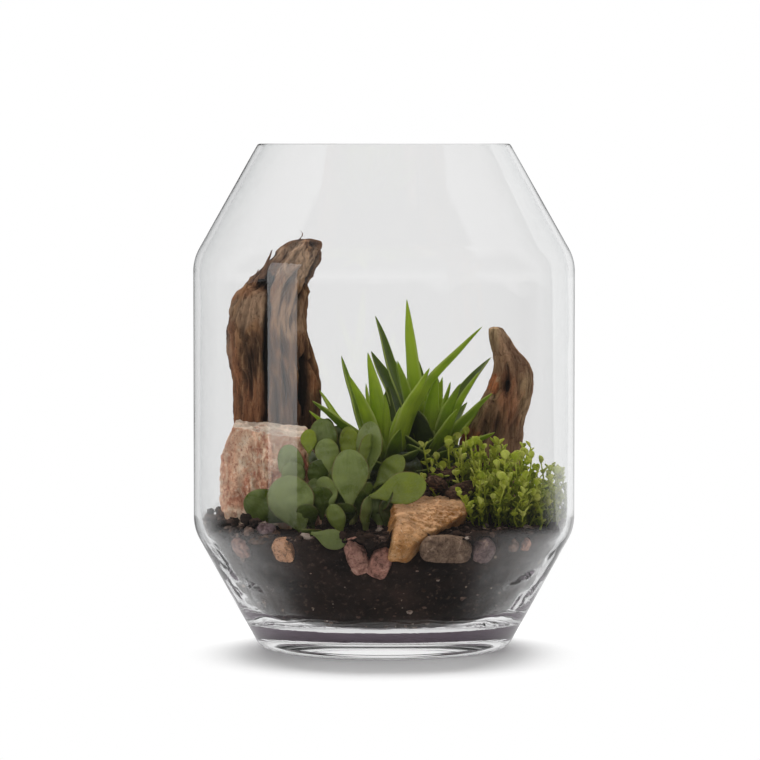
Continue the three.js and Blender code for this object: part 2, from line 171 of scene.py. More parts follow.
def startMaterial(name, roughness=0.6, shine=0.15):
    material = bpy.data.materials.new(name)
    material.use_nodes = True
    tree = material.node_tree
    tree.nodes.clear()
    output = tree.nodes.new("ShaderNodeOutputMaterial")
    shader = tree.nodes.new("ShaderNodeBsdfPrincipled")
    shader.inputs["Roughness"].default_value = roughness
    shader.inputs["Specular IOR Level"].default_value = shine
    tree.links.new(shader.outputs[0], output.inputs["Surface"])
    return material, tree, shader, output


# a node with its settings, and each input either linked to a socket or set to a value
def addNode(tree, kind, inputs=None, **settings):
    node = tree.nodes.new("ShaderNode" + kind)
    for setting, value in settings.items():
        setattr(node, setting, value)
    for key, value in (inputs or {}).items():
        if isinstance(value, bpy.types.NodeSocket):
            tree.links.new(value, node.inputs[key])
        else:
            node.inputs[key].default_value = value
    return node


def objectPlace(tree, stretch=(1, 1, 1)):
    place = addNode(tree, "TexCoord").outputs["Object"]
    return addNode(tree, "Mapping", {"Vector": place, "Scale": stretch}).outputs[0]


def noiseNode(tree, place, scale, detail=4, roughness=0.55, distortion=0):
    inputs = {"Vector": place, "Scale": scale, "Detail": detail, "Roughness": roughness,
              "Distortion": distortion}
    return addNode(tree, "TexNoise", inputs).outputs["Fac"]


def fieldNode(tree, field):
    return addNode(tree, "Attribute", attribute_name=field).outputs["Fac"]


def partNode(tree, place, axis):
    return addNode(tree, "SeparateXYZ", {0: place}).outputs[axis]


# how far a surface faces upwards
def upNode(tree):
    return partNode(tree, addNode(tree, "NewGeometry").outputs["Normal"], "Z")


def blendNode(tree, factor, first, second):
    return addNode(tree, "Mix", {0: factor, 2: first, 3: second}).outputs[0]


def mathNode(tree, operation, first, second=0.5, third=0.5, clamp=False):
    inputs = {0: first, 1: second, 2: third}
    return addNode(tree, "Math", inputs, operation=operation, use_clamp=clamp).outputs[0]


def rangeNode(tree, value, low, high, toLow=0.0, toHigh=1.0):
    inputs = {"Value": value, "From Min": low, "From Max": high, "To Min": toLow, "To Max": toHigh}
    return addNode(tree, "MapRange", inputs).outputs["Result"]


def rampNode(tree, factor, stops):
    node = addNode(tree, "ValToRGB", {"Fac": factor})
    elements = node.color_ramp.elements
    while len(elements) < len(stops):
        elements.new(0.5)
    for element, (position, color) in zip(elements, stops):
        element.position = position
        element.color = paint(color)
    return node.outputs["Color"]


def mixColor(tree, factor, first, second, blend="MIX"):
    node = addNode(tree, "Mix", data_type="RGBA", blend_type=blend)
    for index, value in ((0, factor), (6, first), (7, second)):
        if isinstance(value, bpy.types.NodeSocket):
            tree.links.new(value, node.inputs[index])
        else:
            node.inputs[index].default_value = paint(value) if isinstance(value, str) else value
    return node.outputs[2]


# the color made darker or brighter by a level
def shadeColor(tree, color, level):
    grey = addNode(tree, "CombineColor", {0: level, 1: level, 2: level}).outputs[0]
    return mixColor(tree, 1.0, color, grey, "MULTIPLY")


def bumpNode(tree, height, strength, distance, under=None):
    inputs = {"Height": height, "Strength": strength, "Distance": distance * mm}
    if under is not None:
        inputs["Normal"] = under
    return addNode(tree, "Bump", inputs).outputs[0]


# gives a surface its color, a roughness between two levels that follows a pattern, and its relief
def dressShader(tree, shader, color, pattern, roughness, relief):
    tree.links.new(color, shader.inputs["Base Color"])
    tree.links.new(rangeNode(tree, pattern, 0.3, 0.7, *roughness), shader.inputs["Roughness"])
    tree.links.new(relief, shader.inputs["Normal"])


# lets part of the light through a surface, or gives part of it another shader
def blendShader(tree, output, part, shader, other):
    mixed = addNode(tree, "MixShader", {0: part, 1: shader.outputs[0], 2: other.outputs[0]})
    tree.links.new(mixed.outputs[0], output.inputs["Surface"])


glassJar = {
    "height": 250, "bodyRadius": 94.5, "rimRadius": 62.4, "footRadius": 61.5,
    "lowerShoulder": 59.5, "upperShoulder": 193, "rimWall": 2.8, "bodyWall": 3, "footWall": 7, "floor": 10,
    "shoulderRounding": 6, "footRounding": 4, "floorRounding": 17, "rimRounding": 1.1,
    "sides": 288, "cornerSteps": 13, "straightStep": 2.6,
    "wave": 0.34, "waveSize": 7,  # how far the inside of the foot cone wavers, as blown glass does
    "recess": 0.9, "recessRadius": 51,  # the underside is hollowed a little and stands on its ring
    # a faint grey tint, darkest where the surface is seen edge-on: painted shade for the outline
    "tintsAndEdgeShade": [(0.4, "#f7f7f7"), (0.66, "#e9eaea"), (0.84, "#d5d7d8"), (0.97, "#8c9094")], "ior": 1.47,
}


# corners of [radius, height, rounding]; each corner is a curve between two points that far from it
def roundedOutline(corners, steps, straightStep):
    corners = np.array(corners, dtype=float)
    line = [corners[:1, :2]]
    here = corners[0, :2]
    for index in range(1, len(corners)):
        corner, rounding = corners[index, :2], corners[index, 2]
        before = corner - corners[index - 1, :2]
        start = corner - before / np.linalg.norm(before) * rounding
        count = max(2, int(np.linalg.norm(start - here) / straightStep))
        line.append(here + (start - here) * (np.arange(1, count + 1) / count)[:, None])
        here = start
        if index < len(corners) - 1 and rounding > 0:
            after = corners[index + 1, :2] - corner
            end = corner + after / np.linalg.norm(after) * rounding
            t = (np.arange(1, steps + 1) / steps)[:, None]
            line.append((1 - t) ** 2 * start + 2 * t * (1 - t) * corner + t ** 2 * end)
            here = end
    return np.concatenate(line)


def innerCorners(jar, gap=0.0):
    slope = (jar["bodyRadius"] - jar["footRadius"]) / jar["lowerShoulder"]
    floorRadius = jar["footRadius"] + jar["floor"] * slope
    return [
        [jar["rimRadius"] - jar["rimWall"] - gap, jar["height"], jar["rimRounding"]],
        [jar["bodyRadius"] - jar["bodyWall"] - gap, jar["upperShoulder"] - 1, jar["shoulderRounding"]],
        [jar["bodyRadius"] - jar["bodyWall"] - gap, jar["lowerShoulder"] + 1, jar["shoulderRounding"]],
        [floorRadius - jar["footWall"] - gap, jar["floor"] + gap, jar["floorRounding"]],
        [0, jar["floor"] + gap, 0],
    ]


innerLine = roundedOutline(innerCorners(glassJar), 10, 3.5)[::-1]  # floor to rim, for looking up the wall
wallLine = innerLine[np.argmax(innerLine[:, 0] > 50):]


def wallRadius(height):
    return np.interp(height, wallLine[:, 1], wallLine[:, 0])


# moves any point that is nearer the glass than gap straight in towards the jar's axis
def keepInJar(points, gap=0.3):
    radius = np.hypot(points[..., 0], points[..., 1])
    limit = wallRadius(points[..., 2]) - gap
    points[..., :2] *= np.minimum(1, limit / np.maximum(radius, 1e-6))[..., None]
    return points


# each outline point goes once round the axis; the inner foot cone's radius wavers with layered noise
def makeJar():
    jar = glassJar
    outer = [[0, jar["recess"], 0], [jar["recessRadius"], jar["recess"] - 0.1, 2],
             [jar["recessRadius"] + 3, 0.02, 1], [jar["footRadius"], 0, jar["footRounding"]],
             [jar["bodyRadius"], jar["lowerShoulder"], jar["shoulderRounding"]],
             [jar["bodyRadius"], jar["upperShoulder"], jar["shoulderRounding"]],
             [jar["rimRadius"], jar["height"], jar["rimRounding"]]]
    line = roundedOutline(outer + innerCorners(jar), jar["cornerSteps"], jar["straightStep"])
    line = line[(line[:, 0] > 1e-6)]
    turn = np.arange(jar["sides"]) / jar["sides"] * 2 * math.pi
    rings = np.zeros((len(line), jar["sides"], 3))
    radius, height = line[:, 0][:, None], line[:, 1][:, None]
    rings[..., 0] = radius * np.cos(turn)
    rings[..., 1] = radius * np.sin(turn)
    rings[..., 2] = height
    top = int(np.argmax(line[:, 1]))
    inside = (np.arange(len(line)) > top)[:, None]
    foot = smoothStep(60, 44, height) * smoothStep(13.0, 20, height)
    wave = layeredNoise(rings * np.array([0.4, 0.4, 1.0]), jar["waveSize"], 5, 3) * jar["wave"] * foot
    wave += layeredNoise(rings * np.array([1, 1, 0.6]), 17, 6, 2) * 0.03
    wave *= inside
    away = rings[..., :2] / np.maximum(radius, 1e-6)[..., None]
    rings[..., :2] += away * wave[..., None]
    low = np.array([0, 0, jar["recess"]])
    floor = np.array([0, 0, jar["floor"]])
    return ringSurface("glassJar", rings * mm, low * mm, floor * mm)


# clear for the eye, and plain see-through for light that only lights what is inside; its grey tint darkens
# towards grazing angles, which is painted shade that draws the glass's dark outline
def clearGlass():
    material, tree, shader, output = startMaterial("clearGlass", 0.0, 0.5)
    facing = addNode(tree, "LayerWeight", {"Blend": 0.5}).outputs["Facing"]
    # painted shade: the tint darkens where the surface is seen edge-on
    tintAndEdgeShade = rampNode(tree, facing, glassJar["tintsAndEdgeShade"])
    tree.links.new(tintAndEdgeShade, shader.inputs["Base Color"])
    shader.inputs["Transmission Weight"].default_value = 1.0
    shader.inputs["IOR"].default_value = glassJar["ior"]
    smudge = noiseNode(tree, objectPlace(tree), 14, 3)
    tree.links.new(bumpNode(tree, smudge, 0.04, 0.3), shader.inputs["Normal"])
    rays = addNode(tree, "LightPath")
    lighting = mathNode(tree, "MAXIMUM", rays.outputs["Is Shadow Ray"], rays.outputs["Is Diffuse Ray"])
    through = addNode(tree, "BsdfTransparent", {"Color": (0.92, 0.92, 0.92, 1)})
    blendShader(tree, output, lighting, shader, through)
    return material


finishPiece(makeJar(), clearGlass(), "clear_glass", "glass_foot", "glass_body", "glass_shoulder")
print("jar made")

pottingSoil = {
    "level": 60, "moundHeight": 23, "moundAt": (15, 4), "moundSpread": (30, 34),
    "columns": 400, "topRows": 90, "sideRows": 157,
    "lumpSize": 11, "lumpHeight": 1.8, "grainSize": 2.6, "grainHeight": 0.9, "edgeSwell": 2.0,
    "gap": 0.35, "unevenSide": 0.9, "unevenSize": 6,  # how far it stays off the glass, and how roughly
    "pressed": 0.1, "pressedFrom": 51, "pressedBelow": 15.0,  # but it is pressed into the floor's rounding
}
# places where stones lie against the glass, so the soil stands back: x, y, height, half width, half
# height, lean in degrees and depth
stoneHollows = [
    (-13, -83, 53.5, 5.2, 9, -22, 4.5), (-1.5, -80.5, 51, 5.6, 8.4, 24, 4.5),
    (29.5, -81.5, 56.5, 13, 6.4, 4, 4.5), (48, -73.5, 55.5, 6, 6, 10, 4.5),
    (-27, -84, 60.3, 8.5, 4.8, 24, 4.5), (-48.5, -73.5, 55.5, 5.8, 5.8, 0, 4.5),
    (-69, -54, 55, 5.6, 4.8, 0, 4.5), (13, -86, 59, 11, 9.5, 40, 16),
    (-57, -66, 60, 8, 3.4, -16, 4.5), (62, -62, 57, 3.6, 3.4, 0, 4.5), (68.5, -57, 57, 3.2, 3.4, 0, 4.5),
]


# a bell-shaped mound on a level bed
def soilTop(x, y):
    across = (x - pottingSoil["moundAt"][0]) / pottingSoil["moundSpread"][0]
    deep = (y - pottingSoil["moundAt"][1]) / pottingSoil["moundSpread"][1]
    return pottingSoil["level"] + pottingSoil["moundHeight"] * np.exp(-(across ** 2 + deep ** 2) / 2)


# the mound plus broad lumps, grains and a slow swell along the glass
def soilSurface(x, y):
    flat = np.stack([x, y, np.zeros_like(x)], axis=-1)
    lumps = layeredNoise(flat, pottingSoil["lumpSize"], 31, 3) * pottingSoil["lumpHeight"]
    grains = np.abs(layeredNoise(flat, pottingSoil["grainSize"], 41, 2)) * pottingSoil["grainHeight"]
    swell = noiseAt(flat, 46, 77) * pottingSoil["edgeSwell"]
    return soilTop(x, y) + lumps + grains + swell


# how far the soil stands back behind each stone at the glass: full inside the stone's own outline
def stoneRoom(points):
    room = np.zeros(points.shape[:-1])
    turn = np.arctan2(points[..., 1], points[..., 0])
    radius = np.hypot(points[..., 0], points[..., 1])
    for x, y, height, halfWidth, halfHeight, lean, depth in stoneHollows:
        apart = (turn - math.atan2(y, x) + math.pi) % (2 * math.pi) - math.pi
        u, v = apart * radius, points[..., 2] - height
        c, d = math.cos(math.radians(lean)), math.sin(math.radians(lean))
        distance = np.hypot((u * c - v * d) / halfWidth, (u * d + v * c) / halfHeight)
        room = np.maximum(room, depth * smoothStep(1.3, 0.8, distance))
    return room


# rings run from the middle of the top out to the glass, then down the wall's own outline and in along
# the floor; the side stays off the glass by the gap and by more where layered noise is high, and is
# pressed to the glass in the floor's rounding
def makeSoil():
    soil = pottingSoil
    turn = -np.arange(soil["columns"]) / soil["columns"] * 2 * math.pi
    edgeRadius = wallRadius(soil["level"] + 1.0) - soil["gap"]
    share = ((np.arange(soil["topRows"]) + 1) / soil["topRows"])[:, None] ** 0.8
    x, y = share * edgeRadius * np.cos(turn), share * edgeRadius * np.sin(turn)
    top = np.stack([x, y, soilSurface(x, y)], axis=-1)
    steps = np.diff(innerLine, axis=0)
    length = np.concatenate([[0], np.cumsum(np.hypot(steps[:, 0], steps[:, 1]))])
    slope = np.gradient(innerLine, length, axis=0)
    steep = innerLine[:, 0] > 55
    start = np.interp(top[-1, :, 2], innerLine[steep, 1], length[steep])
    share = ((np.arange(soil["sideRows"]) + 1) / soil["sideRows"])[:, None] ** 1.2
    at = start[None, :] * (1 - share) + 2.5 * share
    radius, height = np.interp(at, length, innerLine[:, 0]), np.interp(at, length, innerLine[:, 1])
    side = np.stack([radius * np.cos(turn), radius * np.sin(turn), height], axis=-1)
    uneven = np.maximum(0, layeredNoise(side * np.array([1, 1, 1.3]), soil["unevenSize"], 51, 4) - 0.06)
    back = uneven * soil["unevenSide"] + stoneRoom(side) * (height > soil["level"] - 22) + soil["gap"]
    onFloor = smoothStep(soil["pressedBelow"] + 0.6, soil["pressedBelow"], height)
    onFloor *= smoothStep(soil["pressedFrom"] - 2, soil["pressedFrom"], radius)
    back = back * (1 - onFloor) - soil["pressed"] * onFloor
    outRadius, outHeight = np.interp(at, length, slope[:, 1]), -np.interp(at, length, slope[:, 0])
    side[..., 0] -= back * outRadius * np.cos(turn)
    side[..., 1] -= back * outRadius * np.sin(turn)
    side[..., 2] -= back * outHeight
    room = stoneRoom(top)
    inwards = np.maximum(0, room - (edgeRadius - np.hypot(top[..., 0], top[..., 1])))
    top[..., :2] *= (1 - inwards / np.hypot(top[..., 0], top[..., 1]))[..., None]
    return ringSurface("pottingSoil", np.concatenate([top, side]) * mm)


# how far round and how far down each point of a small ball's rings lies
def ballAngles(rows=5, columns=8):
    fall = ((np.arange(rows) + 1) / (rows + 1) * math.pi)[::-1][None, :, None]
    around = (np.arange(columns) / columns * 2 * math.pi)[None, None, :]
    return fall, around


# sizes between the two given, most of them near the smaller
def unevenSizes(chance, sizes, count):
    return sizes[0] + (sizes[1] - sizes[0]) * chance.uniform(0, 1, count) ** 3


# crumbs lying on the soil: balls with uneven radii, squashed and turned, some piled up
def makeCrumbs(name, count, sizes, area, seed, tones, pile=0.0):
    chance = np.random.default_rng(seed)
    turn = chance.uniform(*area["turn"], count)
    radius = np.sqrt(chance.uniform(area["from"] ** 2, area["to"] ** 2, count))
    size = unevenSizes(chance, sizes, count)
    x, y = radius * np.cos(turn), radius * np.sin(turn)
    z = soilSurface(x, y) + size * chance.uniform(-0.1, 0.5, count) + pile * chance.uniform(0, 1, count) ** 2
    clear = (stoneRoom(np.stack([x, y, z], axis=-1)) < 1.0) | (radius < 70)  # none on the stones at the glass
    x, y, z, size, count = x[clear], y[clear], z[clear], size[clear], int(clear.sum())
    fall, around = ballAngles()
    ball = [np.sin(fall) * np.cos(around), np.sin(fall) * np.sin(around), np.cos(fall)]
    ball = np.stack(np.broadcast_arrays(*ball), axis=-1)
    uneven = 1 + chance.uniform(-0.28, 0.28, (count, *ball.shape[1:3]))
    stretch = chance.uniform(0.5, 1.0, (count, 1, 1, 3)) * np.array([1, 1, 0.7])
    shapes = ball * uneven[..., None] * stretch * size[:, None, None, None]
    spin = chance.uniform(0, 2 * math.pi, count)
    c, d = np.cos(spin)[:, None, None], np.sin(spin)[:, None, None]
    shapes = np.stack([shapes[..., 0] * c - shapes[..., 1] * d,
                       shapes[..., 0] * d + shapes[..., 1] * c, shapes[..., 2]], axis=-1)
    shapes += np.stack([x, y, z], axis=-1)[:, None, None]
    keepInJar(shapes, 0.25)
    tone = chance.uniform(0, 1, count) ** tones
    return stackSurface(name, shapes * mm, {"tone": tone[:, None, None]})


# crumbs pressed flat to the inside of the foot cone, from the floor's rounding up
def makeFlecks(name, flecks):
    chance = np.random.default_rng(flecks["seed"])
    count = flecks["count"]
    turn = chance.uniform(0, 2 * math.pi, count)
    height = flecks["from"] + (flecks["to"] - flecks["from"]) * chance.uniform(0, 1, count) ** 1.8
    size = unevenSizes(chance, flecks["sizes"], count)
    fall, around = ballAngles()
    uneven = chance.uniform(0.6, 1.2, (count, fall.size, around.size)) * size[:, None, None]
    radius = (wallRadius(height) - 0.5)[:, None, None] + np.cos(fall) * uneven * 0.25
    angle = turn[:, None, None] + np.sin(fall) * np.cos(around) * uneven / radius
    tall = chance.uniform(0.4, 1.0, count)[:, None, None]
    lift = height[:, None, None] + np.sin(fall) * np.sin(around) * uneven * tall
    shapes = np.stack([radius * np.cos(angle), radius * np.sin(angle), lift], axis=-1)
    keepInJar(shapes, 0.2)
    tone = chance.uniform(*flecks["tones"], count)
    return stackSurface(name, shapes[:, ::-1] * mm, {"tone": tone[:, None, None]})


# dark brown patches with paler grit and flecks; where it is pressed to the floor's rounding, a pale purplish
# haze is painted on as a painted reflection of the glass foot
def darkSoil():
    material, tree, shader, _ = startMaterial("darkSoil", 0.9)
    place = objectPlace(tree)
    broad = noiseNode(tree, place, 45, 5, 0.6)
    fine = noiseNode(tree, place, 420, 6, 0.7)
    color = rampNode(tree, broad, [(0.3, "#16100e"), (0.5, "#271d19"), (0.7, "#3a2d27")])
    color = mixColor(tree, rangeNode(tree, fine, 0.55, 0.75), color, "#54443a")
    cells = addNode(tree, "TexVoronoi", {"Vector": place, "Scale": 160.0, "Randomness": 1.0})
    fleck = mathNode(tree, "LESS_THAN", cells.outputs["Distance"], 0.16)
    chosen = mathNode(tree, "GREATER_THAN", noiseNode(tree, place, 90, 2), 0.66)
    color = mixColor(tree, mathNode(tree, "MULTIPLY", fleck, chosen), color, "#7a6a5c")
    # painted reflection: the lowest ring of soil turns pale purplish grey
    low = rangeNode(tree, partNode(tree, place, "Z"), 0.0175, 0.0145, 0, 0.85)
    color = mixColor(tree, low, color, "#8f828e")
    relief = bumpNode(tree, cells.outputs["Distance"], 0.4, 0.6, bumpNode(tree, fine, 0.8, 0.5))
    dressShader(tree, shader, color, broad, (0.75, 0.98), relief)
    return material


# each crumb has its own tone, from dark soil to pale grit, clouded by fine noise
def crumbMaterial():
    material, tree, shader, _ = startMaterial("soilCrumb", 0.9)
    fine = noiseNode(tree, objectPlace(tree), 500, 5, 0.7)
    shade = rangeNode(tree, fine, 0.3, 0.7, -0.12, 0.12)
    shade = mathNode(tree, "ADD", fieldNode(tree, "tone"), shade, clamp=True)
    tones = [(0.0, "#1c1512"), (0.5, "#33261f"), (0.8, "#54423a"), (0.93, "#79655a"), (1.0, "#a39488")]
    color = rampNode(tree, shade, tones)
    dressShader(tree, shader, color, fine, (0.78, 0.98), bumpNode(tree, fine, 0.7, 0.4))
    return material


finishPiece(makeSoil(), darkSoil(), "potting_soil", "potting_soil")
crumbs = crumbMaterial()
wholeTurn = (0, 2 * math.pi)
# each bed of crumbs lies within two angles and two radii; tones over 1 make more of them dark
crumbBeds = {
    "soilCrumbs": {"count": 2600, "sizes": (0.7, 2.2), "area": {"turn": wholeTurn, "from": 8, "to": 90},
                   "seed": 2, "tones": 0.9},
    "edgeChunks": {"count": 420, "sizes": (1.2, 4.2), "area": {"turn": wholeTurn, "from": 80, "to": 90.5},
                   "seed": 4, "tones": 1.1, "pile": 1.2},
    "leftHeap": {"count": 170, "sizes": (1.5, 5.0), "seed": 6, "tones": 1.0, "pile": 6.5,
                 "area": {"turn": (math.radians(165), math.radians(225)), "from": 74, "to": 90}},
    "middleHeap": {"count": 150, "sizes": (1.5, 4.5), "seed": 8, "tones": 0.8, "pile": 7.0,
                   "area": {"turn": (math.radians(-70), math.radians(-20)), "from": 12, "to": 50}},
}
paleFlecks = {"count": 420, "from": 17, "to": 50, "sizes": (0.4, 1.9), "tones": (0.5, 1.0), "seed": 12}
for name, bed in crumbBeds.items():
    finishPiece(makeCrumbs(name, **bed), crumbs, "potting_soil")
finishPiece(makeFlecks("paleFlecks", paleFlecks), crumbs, "potting_soil")
print("soil made")

redRock = {
    "at": (-59, -18, 86), "sharpness": 40,
    "faces": [(-1, 0, 0.05, 21), (-0.93, 0, 0.36, 23.5), (-0.93, 0.1, -0.37, 23), (0.1, -0.22, 0.96, 25.5),
              (0.1, 0.5, 0.86, 27), (0.97, -0.1, 0.2, 25), (-0.1, -0.98, 0.12, 15), (-0.75, -0.66, 0, 24),
              (0, 1, 0, 15), (-0.5, 0.85, 0, 22), (0, 0, -1, 32)],
    "chips": 1.5, "chipSize": 13, "grain": 0.45, "grainSize": 3.0, "seed": 3,
}
tanRock = {
    "at": (20, -57, 58), "sharpness": 26,
    "faces": [(0, -0.19, 0.98, 17.3), (0.42, -0.59, 0.69, 17.2), (0.3, -0.61, 0.74, 17),
              (0.73, -0.39, -0.56, 6.6), (0.95, 0.2, 0.1, 22), (-0.99, -0.1, 0.25, 19.4), (0, 1, 0.1, 19),
              (0, 0.3, -0.95, 15), (0, -0.35, -0.94, 15.8)],
    "chips": 0.9, "chipSize": 11, "grain": 0.5, "grainSize": 2.6, "seed": 8,
}
# each stone or bark piece is its place, half sizes, azimuth and lean in degrees, and tone
pebbles = {
    "pebblePinkLeft": ((-13, -81.8, 53.5), (5, 5, 9), 0, -22, 0.75),
    "pebblePinkRight": ((-1.5, -80.2, 51), (5.4, 5, 8.4), 0, 24, 0.85),
    "pebbleFlatBrown": ((29.2, -80.2, 56.5), (13, 6, 6.4), 20, 4, 0.3),
    "pebblePurple": ((47.2, -72.2, 55.5), (6, 5, 6), 33, 10, 0.1),
    "pebbleOrange": ((-47.7, -72.3, 55.5), (5.6, 5, 5.8), -33, 0, 1.0),
    "pebbleRosy": ((-68.2, -53.3, 55), (5.4, 5, 4.8), -50, 0, 0.6),
}
loosePebbles = {
    "loosePebbleRight": ((60.5, -60.5, 57), (3.4, 3.2, 3.2), 40, 0, 0.4),
    "loosePebbleFarRight": ((67, -55.6, 57), (3, 3, 3.2), 45, 10, 0.9),
    "loosePebbleGrey": ((-56, -62, 64), (4.6, 3.4, 3.2), -30, 8, 0.05),
}
looseBark = {
    "looseBarkBrown": ((37, -42, 81), (8, 4, 4), 20, -18, 0),
    "looseBarkDark": ((26, -38, 84), (7, 4, 3.6), 40, 24, 0),
    "looseBarkFar": ((30, -30, 88), (9, 4, 4), 10, -8, 0),
}
barkPieces = {
    "barkLeft": ((-80.5, 0, 63.5), (4, 10, 5.5), 6, 24, 0),
    "barkFront": ((-57, -61, 60), (8, 4, 3.4), -25, -16, 0),
    "barkMiddle": ((30, -27, 78.5), (9, 5.5, 4.2), 20, 14, 0),
}
pebbleCorner = {"reach": 1.08, "skew": 0.06, "topHeavy": 0.05, "sharpness": 9}


# turns about Z by azimuth after leaning about Y, after rolling about the piece's own axis
def poseMatrix(azimuth, lean, roll=0.0):
    a, b, c = np.radians([azimuth, lean, roll])
    spin = np.array([[math.cos(a), -math.sin(a), 0], [math.sin(a), math.cos(a), 0], [0, 0, 1]])
    tilt = np.array([[math.cos(b), 0, math.sin(b)], [0, 1, 0], [-math.sin(b), 0, math.cos(b)]])
    own = np.array([[math.cos(c), -math.sin(c), 0], [math.sin(c), math.cos(c), 0], [0, 0, 1]])
    return spin @ tilt @ own


# directions over a ball; how far the stone reaches along each is the power mean of the ways to its flat faces
def stoneRings(faces, sharpness, rows, columns):
    fall = (np.arange(1, rows + 1) / (rows + 1) * math.pi)[::-1][:, None]
    turn = (np.arange(columns) / columns * 2 * math.pi)[None, :]
    ray = np.stack([np.sin(fall) * np.cos(turn), np.sin(fall) * np.sin(turn),
                    np.cos(fall) + np.zeros_like(turn)], axis=-1)
    closeness = np.zeros(ray.shape[:-1])
    for x, y, z, distance in faces:
        slope = ray @ (np.array([x, y, z]) / math.sqrt(x * x + y * y + z * z))
        closeness += np.clip(slope / distance, 0, None) ** sharpness
    return ray, closeness ** (-1 / sharpness)


# broad chips cut inwards by ridged noise, and fine grain on top; a field high on the ridges and low in the
# chip hollows is kept for painted shade and highlight
def makeRock(name, rock, rows=210, columns=280):
    ray, reach = stoneRings(rock["faces"], rock["sharpness"], rows, columns)
    points = ray * reach[..., None]
    chips = 1 - np.abs(layeredNoise(points, rock["chipSize"], rock["seed"], 3))
    steps = layeredNoise(points * np.array([1, 1, 0.35]), rock["chipSize"] * 0.7, rock["seed"] + 5, 4)
    grain = layeredNoise(points, rock["grainSize"], rock["seed"] + 9, 3)
    reach = reach - (1 - chips) * rock["chips"] - np.abs(steps) * rock["chips"] * 0.8 + grain * rock["grain"]
    points = ray * reach[..., None] + np.array(rock["at"])
    keepInJar(points, 0.2)
    return ringSurface(name, points * mm, fields={"chipShading": np.clip(chips - np.abs(steps), 0, 1)})


# a box with its eight corners cut off unevenly, its faces run together, less the height of layered noise
def makePebble(name, pebble, roughness=0.35, sharpness=None, gap=0.15, rows=70, columns=100):
    at, half, azimuth, lean, tone = pebble
    half = np.array(half)
    faces = [(1, 0, 0, half[0]), (-1, 0, 0, half[0]), (0, 1, 0, half[1]), (0, -1, 0, half[1]),
             (0, 0, 1, half[2]), (0, 0, -1, half[2])]
    corner = math.sqrt(3) / float(np.linalg.norm(1 / half)) * pebbleCorner["reach"]
    for x in (-1, 1):
        for y in (-1, 1):
            for z in (-1, 1):
                uneven = 1 + pebbleCorner["skew"] * x * y - pebbleCorner["topHeavy"] * z
                faces.append((x / half[0], y / half[1], z / half[2], corner * uneven))
    ray, reach = stoneRings(faces, sharpness or pebbleCorner["sharpness"], rows, columns)
    points = ray * reach[..., None]
    bumps = layeredNoise(points, 6, int(abs(at[0]) * 7), 4)
    points = points - ray * (np.abs(bumps) * roughness * 2)[..., None]
    points = points @ poseMatrix(azimuth, lean).T + np.array(at)
    keepInJar(points, gap)
    return ringSurface(name, points * mm, fields={"tone": np.full(ray.shape[:2], tone)})


# pink, cream and brick patches run together down the stone, with dark specks in the grain; faces that look up
# are painted paler cream as painted light from above
def redStone():
    material, tree, shader, _ = startMaterial("redStone", 0.85)
    patches = noiseNode(tree, objectPlace(tree, (1.0, 1.0, 0.42)), 75, 6, 0.65, 1.2)
    tones = [(0.3, "#a8644d"), (0.42, "#d09a7c"), (0.52, "#e6c0a2"), (0.64, "#f7e2c8")]
    color = rampNode(tree, patches, tones)
    brick = noiseNode(tree, objectPlace(tree, (1.0, 1.0, 0.6)), 130, 5, 0.6, 0.8)
    color = mixColor(tree, rangeNode(tree, brick, 0.58, 0.7, 0, 0.85), color, "#a2473a")
    specks = noiseNode(tree, objectPlace(tree, (1, 1, 0.6)), 800, 4, 0.7)
    color = mixColor(tree, rangeNode(tree, specks, 0.53, 0.63, 0, 0.65), color, "#8f5142")
    color = mixColor(tree, rangeNode(tree, specks, 0.45, 0.35, 0, 0.55), color, "#f2e2cf")
    # painted light from above: faces that look up turn paler cream
    color = mixColor(tree, rangeNode(tree, upNode(tree), 0.5, 0.85, 0, 0.7), color, "#e9d8c6")
    # painted shade in the chip hollows and painted highlight on the ridges between them
    color = shadeColor(tree, color, rangeNode(tree, fieldNode(tree, "chipShading"), 0.2, 0.8, 0.74, 1.08))
    relief = bumpNode(tree, patches, 0.5, 1.0, bumpNode(tree, specks, 0.6, 0.35))
    dressShader(tree, shader, color, patches, (0.75, 0.92), relief)
    return material


# pink-tan on the upper flats, painted light from above; orange-brown below, pale lines along the crests
def tanStone():
    material, tree, shader, _ = startMaterial("tanStone", 0.85)
    place = objectPlace(tree)
    broad = noiseNode(tree, place, 60, 8, 0.75, 0.2)
    color = rampNode(tree, broad, [(0.32, "#8c5727"), (0.46, "#a8723e"), (0.58, "#b88a5b"), (0.7, "#cba57c")])
    # painted light from above: up-facing flats high on the stone turn pink-tan
    flats = rangeNode(tree, upNode(tree), 0.45, 0.85, 0, 0.8)
    paintedTopLight = mathNode(tree, "MULTIPLY", flats, rangeNode(tree, partNode(tree, place, "Z"), 0.058, 0.068))
    color = mixColor(tree, paintedTopLight, color, "#cc9f78")
    veins = noiseNode(tree, place, 110, 4, 0.5, 1.5)
    ridge = mathNode(tree, "ABSOLUTE", mathNode(tree, "SUBTRACT", veins, 0.5))
    color = mixColor(tree, rangeNode(tree, ridge, 0.008, 0.0, 0, 0.6), color, "#e2ccae")
    specks = noiseNode(tree, place, 800, 3, 0.6)
    color = mixColor(tree, rangeNode(tree, specks, 0.54, 0.7, 0, 0.7), color, "#5e3c20")
    # painted shade in the chip hollows and painted highlight on the ridges between them
    color = shadeColor(tree, color, rangeNode(tree, fieldNode(tree, "chipShading"), 0.2, 0.8, 0.74, 1.06))
    relief = bumpNode(tree, broad, 0.5, 1.0, bumpNode(tree, specks, 0.55, 0.35))
    dressShader(tree, shader, color, broad, (0.72, 0.92), relief)
    return material


